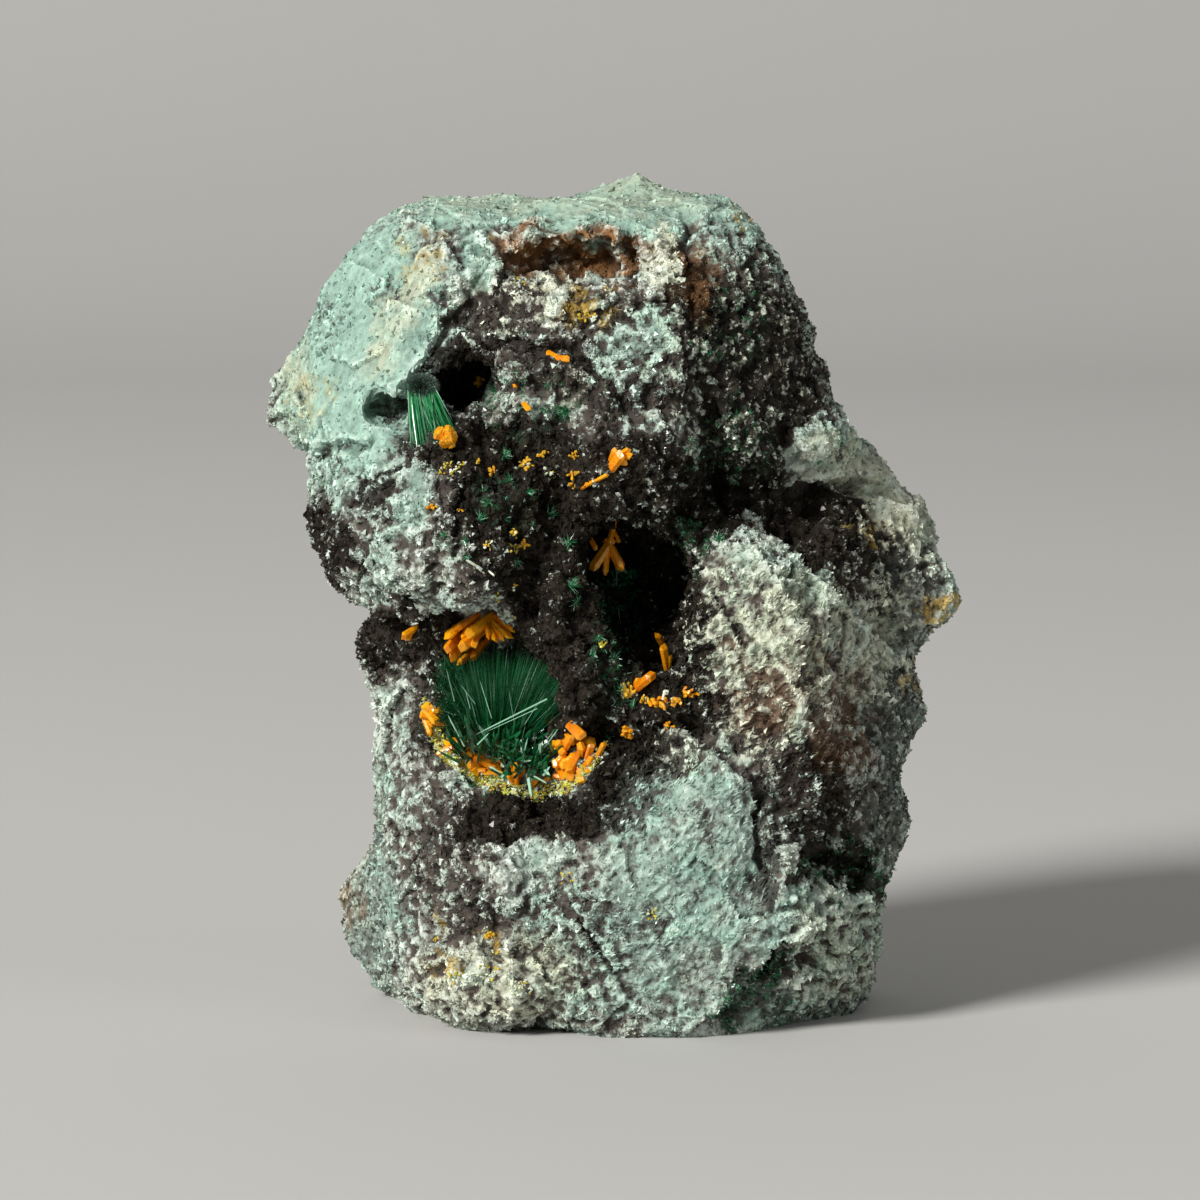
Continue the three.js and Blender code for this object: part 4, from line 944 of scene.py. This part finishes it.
def set_blades(crystals, rows, seed, depth=None, lean=0.5, lemon=0.0, pale=0.0):
    """Single blades by the picture's x and z of root and tip, and width. A root sits on the
    skin behind it, or at a given depth, and the tip leans out from there."""
    chance = np.random.default_rng(seed)
    for x0, z0, x1, z1, width in rows:
        root = on_skin(x0, z0)[0] if depth is None else at_depth(x0, z0, depth)
        tip = at_depth(x1, z1, root[1] - lean * math.hypot(x1 - x0, z1 - z0))
        length = np.array([np.linalg.norm(tip - root)])
        blades(crystals, root[None], (tip - root)[None], length, np.array([width]), chance, lemon, pale, 0.12)


# Single blades: x and z of root and tip in the picture, and width
LEDGE_BLADES = [
    (-4.8, 17.45, -6.0, 16.5, 0.50), (-5.4, 17.5, -6.45, 16.8, 0.45), (-5.1, 16.95, -6.3, 15.95, 0.50),
    (-5.7, 16.6, -6.65, 15.5, 0.46), (-4.95, 16.5, -5.8, 15.5, 0.42), (-6.0, 17.2, -6.8, 16.4, 0.42),
    (-5.4, 16.2, -6.3, 15.3, 0.40), (-4.9, 17.35, -3.85, 16.4, 0.34), (-4.95, 17.3, -4.2, 16.35, 0.32),
    (-5.0, 17.25, -4.55, 16.25, 0.32), (-4.75, 17.45, -3.7, 16.75, 0.30), (-5.05, 17.4, -4.9, 16.4, 0.32),
    (-4.6, 17.5, -4.0, 17.15, 0.28), (-5.2, 16.8, -5.9, 16.1, 0.36), (-5.6, 17.3, -6.1, 16.3, 0.36),
    (-5.3, 17.2, -5.6, 16.0, 0.34), (-6.2, 16.6, -6.8, 15.9, 0.44), (-6.3, 17.0, -6.7, 16.5, 0.40),
]
# Pale blades at the ledge; the first, at a blade's tip, is a painted glint.
LEDGE_WHITE = [
    (-5.7, 17.1, -6.0, 16.85, 0.24), (-6.0, 15.6, -6.3, 15.2, 0.26), (-5.0, 15.9, -5.6, 16.1, 0.12),
]
NODE_BLADES = {
    "kasolite_waist_blade": [(-7.9, 17.0, -8.65, 16.5, 0.38), (-8.1, 16.8, -8.4, 16.4, 0.3)],
    "kasolite_lip_blade": [
        (2.5, 15.3, 2.3, 16.4, 0.38), (2.45, 16.0, 2.02, 16.85, 0.34), (2.6, 15.3, 2.65, 15.9, 0.2),
    ],
    "kasolite_lip_prism": [(1.3, 14.5, 2.0, 15.1, 0.62), (1.15, 14.6, 1.35, 14.9, 0.25)],
    "kasolite_brow_tuft": [
        (0.2, 23.65, 0.7, 24.35, 0.52), (0.4, 24.05, 1.12, 24.15, 0.36), (0.15, 23.9, 0.4, 24.5, 0.32),
        (0.55, 24.2, 1.0, 24.45, 0.28), (0.4, 23.9, 0.9, 23.85, 0.32), (-1.0, 22.85, -0.4, 23.2, 0.24),
        (-0.45, 23.1, 0.12, 23.4, 0.20),
    ],
    "kasolite_knoll_blade": [(-2.40, 28.35, -1.75, 27.98, 0.40), (-2.0, 28.2, -1.5, 28.15, 0.30)],
    "kasolite_saddle_blade": [(-3.8, 27.0, -3.35, 26.2, 0.32), (-3.45, 26.3, -3.2, 26.0, 0.28)],
}
# Small bunches: x, z, reach, axis, opening, how many, length, width, seed, how yellow, how pale
SMALL_BUNCHES = {
    "kasolite_lip_prism": [
        (0.85, 14.35, (0.16, 0.45), (0.2, -0.6, 0.9), 0.4, 12, 0.42, 0.18, 333, 0.4, 0.0),
        (1.6, 13.9, (0.35, 0.18), (0.0, -0.8, 0.5), 0.7, 12, 0.28, 0.14, 335, 0.5, 0.2),
    ],
    "kasolite_lip_crust": [
        (2.4, 13.85, (0.6, 0.24), (0.2, -0.9, 0.3), 0.7, 22, 0.42, 0.22, 341, 0.1, 0.06),
        (3.35, 14.2, (0.35, 0.12), (0.4, -0.8, 0.4), 0.5, 8, 0.40, 0.20, 343, 0.0, 0.0),
        (2.5, 12.85, (0.22, 0.14), (0.3, -0.9, 0.3), 0.7, 7, 0.40, 0.18, 345, 0.0, 0.0),
        (0.95, 12.6, (0.18, 0.2), (0.0, -0.9, 0.3), 0.6, 8, 0.45, 0.28, 347, 0.0, 0.0),
    ],
}
ledge = Crystals()
set_blades(ledge, LEDGE_BLADES, 301, lean=1.1)
set_blades(ledge, LEDGE_WHITE, 302, lean=1.2, pale=1.0)
ledge.place("kasolite_ledge_cluster_blades", kasolite_material, "kasolite", "kasolite_ledge_cluster")
for index, node in enumerate([*NODE_BLADES, "kasolite_lip_crust"]):
    crystals = Crystals()
    set_blades(crystals, NODE_BLADES.get(node, []), 310 + index, lean=0.85)
    for values in SMALL_BUNCHES.get(node, []):
        bunch(crystals, *values)
    crystals.place(node + "_blades", kasolite_material, "kasolite", node)

# The blades that hang in the vug from its roof by a stem, and the cap on the end of the malachite sheaf
vug_blades_low, _ = node_box("kasolite_vug_blades")
VUG_BLADES = [
    (0.30, 21.3, 0.05, 20.3, 0.30), (0.12, 20.5, -0.75, 19.2, 0.48), (0.05, 20.5, 0.75, 19.2, 0.48),
    (0.05, 20.3, -0.1, 19.0, 0.30), (-0.85, 20.95, -0.38, 20.1, 0.24), (0.3, 21.0, 0.55, 20.45, 0.2),
]
vug_blades = Crystals()
set_blades(vug_blades, VUG_BLADES, 381, depth=vug_blades_low[1] + 0.3, lean=0.3)
vug_blades.place("vug_blades", kasolite_material, "kasolite", "kasolite_vug_blades")

CAP_BLADES = 34
cap_low, cap_high = node_box("kasolite_sheaf_cap")
chance = np.random.default_rng(391)
ways = unit(chance.normal(size=(CAP_BLADES, 3)) + np.array((0.45, -0.6, 0.3)))
sheaf_cap = Crystals()
blades(
    sheaf_cap, (cap_low + cap_high) / 2 + ways * 0.05, ways, 0.42 * (0.7 + 0.45 * chance.random(CAP_BLADES)),
    0.40 * (0.7 + 0.6 * chance.random(CAP_BLADES)), chance, sink=0.0,
)
sheaf_cap.place("sheaf_cap", kasolite_material, "kasolite", "kasolite_sheaf_cap")

# The crust on the pocket's rim: a thin crescent of fine sparkling crystals with blades inside and above it
RIM_LINE = [
    (-7.6, 13.9), (-7.25, 12.6), (-6.6, 11.6), (-5.4, 10.75), (-4.1, 10.25), (-2.7, 10.05), (-1.6, 10.4),
    (-0.75, 11.2), (-0.05, 12.1),
]
RIM_BLADES = [
    (-7.5, 13.5, -7.0, 12.9, 0.42), (-7.6, 13.1, -7.3, 12.4, 0.36), (-7.2, 13.2, -6.9, 13.5, 0.30),
    (-6.7, 11.95, -5.5, 12.1, 0.46), (-6.6, 12.3, -6.0, 12.2, 0.34), (-5.5, 11.6, -4.3, 11.0, 0.44),
    (-5.2, 11.3, -4.3, 11.4, 0.40), (-5.0, 10.9, -4.2, 10.9, 0.36), (-4.7, 11.4, -4.4, 10.6, 0.36),
    (-3.75, 10.4, -3.8, 11.5, 0.27), (-3.9, 10.5, -4.2, 10.9, 0.25), (-2.3, 13.1, -1.6, 12.4, 0.55),
    (-1.5, 12.9, -0.9, 12.3, 0.52), (-1.4, 12.3, -1.3, 11.4, 0.55), (-1.0, 12.2, -0.5, 12.3, 0.46),
    (-1.9, 12.0, -1.5, 11.3, 0.50), (-1.2, 11.6, -1.7, 10.8, 0.54), (-2.0, 11.2, -1.1, 11.3, 0.46),
    (-2.1, 10.8, -1.2, 10.7, 0.40), (-0.4, 11.6, -0.05, 12.3, 0.28), (-2.6, 10.6, -2.1, 11.0, 0.30),
    (-0.8, 11.6, -0.6, 12.2, 0.34), (-3.2, 10.3, -2.8, 10.8, 0.24),
]
# Pale blades on the rim; the third and fourth are painted glints.
RIM_WHITE = [
    (-5.6, 12.2, -5.35, 11.4, 0.26), (-5.5, 12.1, -5.2, 11.8, 0.2), (-2.5, 10.9, -2.0, 10.7, 0.24),
    (-2.7, 11.2, -2.4, 10.8, 0.2), (-6.4, 11.5, -6.2, 11.2, 0.14), (-0.3, 11.9, -0.2, 12.1, 0.12),
]
RIM_GRAINS, RIM_WIDTH = 4600, 0.12
RIM_BUNCHES = [
    (-1.4, 11.5, (0.75, 0.80), (-0.2, -0.7, 0.2), 0.8, 28, 0.75, 0.46, 411),
    (-4.9, 11.2, (0.7, 0.30), (-0.6, -0.6, 0.1), 0.6, 12, 0.75, 0.42, 413),
    (-6.2, 12.0, (0.7, 0.20), (-0.6, -0.6, 0.1), 0.5, 8, 0.80, 0.40, 415),
    (-7.3, 13.1, (0.3, 0.5), (0.3, -0.6, 0.3), 0.5, 9, 0.60, 0.40, 417),
    (-3.8, 10.8, (0.2, 0.3), (0.0, -0.5, 0.9), 0.3, 5, 0.75, 0.26, 419),
]
rim = Crystals()
for values in RIM_BUNCHES:
    bunch(rim, *values)
set_blades(rim, RIM_BLADES, 401, lean=0.5)
set_blades(rim, RIM_WHITE, 402, lean=0.6, pale=1.0)
chance = np.random.default_rng(403)
knots = np.array(RIM_LINE)
spans = np.linalg.norm(np.diff(knots, axis=0), axis=1)
marks = np.concatenate([[0], np.cumsum(spans)])
far = chance.random(RIM_GRAINS) * marks[-1]
breadth = RIM_WIDTH * (0.7 + 0.6 * np.sin(far / marks[-1] * math.pi))
grain_x = np.interp(far, marks, knots[:, 0]) + breadth * chance.normal(size=RIM_GRAINS)
grain_z = np.interp(far, marks, knots[:, 1]) + breadth * chance.normal(size=RIM_GRAINS)
hits = [on_skin(x, z) for x, z in zip(grain_x, grain_z)]
seats, normals = np.array([hit[0] for hit in hits]), np.array([hit[1] for hit in hits])
grain_axes = unit(normals + 0.7 * chance.normal(size=(RIM_GRAINS, 3)))
grain_sizes = 0.05 + 0.16 * chance.random(RIM_GRAINS) ** 3
kind = chance.random(RIM_GRAINS)
rim.add(
    CHIP, seats, turned_frames(grain_axes, chance), grain_sizes[:, None] * (0.7, 0.5, 1.2),
    tone=chance.random(RIM_GRAINS),
    lemon=np.where(kind > 0.12, 1.0, 0.2), pale=np.where(kind > 0.66, 0.8, 0.0),
)
rim.values["tip"].append(np.ones(RIM_GRAINS * len(CHIP[0])))
rim.place("rim_crust", kasolite_material, "kasolite", "kasolite_rim_crust")

# Specks: x, z, reach, how many, length, how yellow, how pale
SPECKS = [
    (-6.55, 23.55, 0.42, 26, 0.24, 0.9, 0.45), (-6.0, 23.8, 0.12, 5, 0.26, 0.9, 0.3),
    (-5.35, 23.9, 0.10, 4, 0.28, 0.5, 0.0), (-4.75, 23.45, 0.10, 6, 0.30, 0.3, 0.1),
    (-3.4, 23.75, 0.24, 20, 0.32, 0.5, 0.1), (-2.35, 23.45, 0.30, 20, 0.26, 0.9, 0.4),
    (-2.6, 24.15, 0.10, 6, 0.32, 0.3, 0.0), (-1.35, 24.1, 0.14, 8, 0.30, 0.4, 0.0),
    (-1.35, 23.4, 0.14, 8, 0.34, 0.3, 0.0), (-1.4, 22.9, 0.12, 8, 0.30, 0.3, 0.0),
    (-7.3, 22.0, 0.14, 5, 0.30, 0.2, 0.0), (-6.1, 21.9, 0.08, 3, 0.2, 0.2, 0.0),
    (-5.2, 27.2, 0.16, 8, 0.40, 0.0, 0.0), (-3.9, 20.9, 0.10, 10, 0.30, 0.7, 0.0),
    (-3.9, 20.3, 0.26, 16, 0.28, 0.8, 0.2), (-5.0, 20.4, 0.22, 12, 0.24, 0.6, 0.2),
    (-3.5, 20.4, 0.16, 8, 0.36, 0.3, 0.0), (-4.6, 18.2, 0.20, 12, 0.24, 0.8, 0.3),
    (-3.9, 18.7, 0.10, 5, 0.26, 0.5, 0.1), (-3.9, 17.4, 0.14, 6, 0.22, 0.8, 0.4),
    (-0.2, 16.25, 0.12, 6, 0.30, 0.9, 0.0), (-4.9, 4.2, 0.14, 12, 0.30, 0.5, 0.0),
    (-4.6, 3.5, 0.16, 7, 0.2, 0.9, 0.3), (-7.1, 4.0, 0.12, 10, 0.22, 0.7, 0.1),
    (-6.5, 2.4, 0.35, 22, 0.24, 0.9, 0.5), (-5.0, 2.6, 0.5, 20, 0.20, 0.9, 0.6),
    (-3.6, 1.9, 0.5, 18, 0.20, 0.9, 0.6), (-1.6, 6.5, 0.4, 8, 0.2, 0.9, 0.3),
    (1.9, 5.0, 0.4, 10, 0.2, 0.9, 0.3), (-3.5, 31.3, 0.3, 10, 0.22, 0.9, 0.5),
    (-0.8, 29.9, 0.4, 16, 0.24, 0.7, 0.1), (0.0, 31.0, 0.3, 8, 0.2, 0.9, 0.4),
]
# White prisms; the fourth is a painted glint.
WHITE_PRISMS_AND_GLINT = [
    (-5.2, 19.4, -5.95, 19.85, 0.13), (-5.15, 19.3, -5.5, 19.55, 0.16), (-4.95, 19.35, -4.65, 19.1, 0.12),
    (-2.5, 18.95, -2.35, 18.8, 0.16), (-5.0, 19.5, -4.9, 19.9, 0.09),
]
HAIR = (2.75, 17.5, 2.1, 17.15, 0.035)
specks = Crystals()
for index, (x, z, reach, count, length, lemon, pale) in enumerate(SPECKS):
    reaches = (reach, reach * 0.7)
    bunch(specks, x, z, reaches, (0, -0.8, 0.3), 0.9, count, length, length * 0.45, 500 + index, lemon, pale)
set_blades(specks, WHITE_PRISMS_AND_GLINT, 561, lean=0.5, pale=1.0)
set_blades(specks, [HAIR], 562, lean=0.2, pale=1.0)
specks.place("kasolite_specks", kasolite_material, "kasolite")


# Floor, lights and camera: a pale floor that sweeps up behind, a soft key from the upper left in
# front, a weak fill from the right, and the camera at the eye point that the front is laid out from.
# The sizes and places in this section are in metres.
SWEEP_FRONT, SWEEP_BACK, SWEEP_ROUND, SWEEP_TOP, SWEEP_SIDE = -2.0, 0.45, 0.30, 1.6, 2.2
SWEEP_STEPS = 16
FLOOR_COLOUR = (0.60, 0.59, 0.57, 1)
sweep = [(SWEEP_FRONT, 0.0), (SWEEP_BACK, 0.0)]
for step in range(1, SWEEP_STEPS + 1):
    angle = step / SWEEP_STEPS * math.pi / 2
    sweep.append((SWEEP_BACK + SWEEP_ROUND * math.sin(angle), SWEEP_ROUND * (1 - math.cos(angle))))
sweep.append((SWEEP_BACK + SWEEP_ROUND, SWEEP_TOP))
floor_mesh = bpy.data.meshes.new("floor")
floor_mesh.from_pydata(
    [(side, y, z) for y, z in sweep for side in (-SWEEP_SIDE, SWEEP_SIDE)], [],
    [(2 * k, 2 * k + 1, 2 * k + 3, 2 * k + 2) for k in range(len(sweep) - 1)],
)
floor_mesh.polygons.foreach_set("use_smooth", [True] * len(floor_mesh.polygons))
floor = linked_object("floor", floor_mesh)
floor_material, _, floor_shader = new_material("Pale floor")
floor_shader.inputs["Base Color"].default_value = FLOOR_COLOUR
floor_shader.inputs["Roughness"].default_value = 0.8
floor_mesh.materials.append(floor_material)


def soft_light(name, place, size, power, colour):
    """A round area light that faces the middle of the stone."""
    data = bpy.data.lights.new(name, "AREA")
    data.shape = "DISK"
    data.size = size
    data.energy = power
    data.color = colour
    lamp = linked_object(name, data)
    lamp.location = place
    lamp.rotation_euler = (LIT_MIDDLE - Vector(place)).to_track_quat("-Z", "Y").to_euler()


LIT_MIDDLE = Vector((0, 0, 0.018))
soft_light("key", (-0.74, -0.82, 0.62), 0.34, 20.5, (1.0, 0.985, 0.96))
soft_light("fill", (1.1, -0.7, 0.5), 0.9, 2.0, (0.96, 0.98, 1.0))
world = bpy.data.worlds.new("studio")
bpy.context.scene.world = world
world.use_nodes = True
room_light = world.node_tree.nodes["Background"]
room_light.inputs["Color"].default_value = (0.82, 0.84, 0.86, 1)
room_light.inputs["Strength"].default_value = 0.17
bpy.context.scene.view_settings.view_transform = "Standard"

FRAME_WIDTH = 50.0  # millimetres that the picture covers at its middle
SENSOR_WIDTH = 36.0
camera_data = bpy.data.cameras.new("camera")
camera_data.sensor_width = SENSOR_WIDTH
camera_data.lens = SENSOR_WIDTH * EYE_DISTANCE / FRAME_WIDTH
camera_data.clip_start = 0.01
camera = linked_object("camera", camera_data)
camera.location = EYE * MM
camera.rotation_euler = (math.pi / 2 - EYE_RISE, 0, 0)
bpy.context.scene.camera = camera
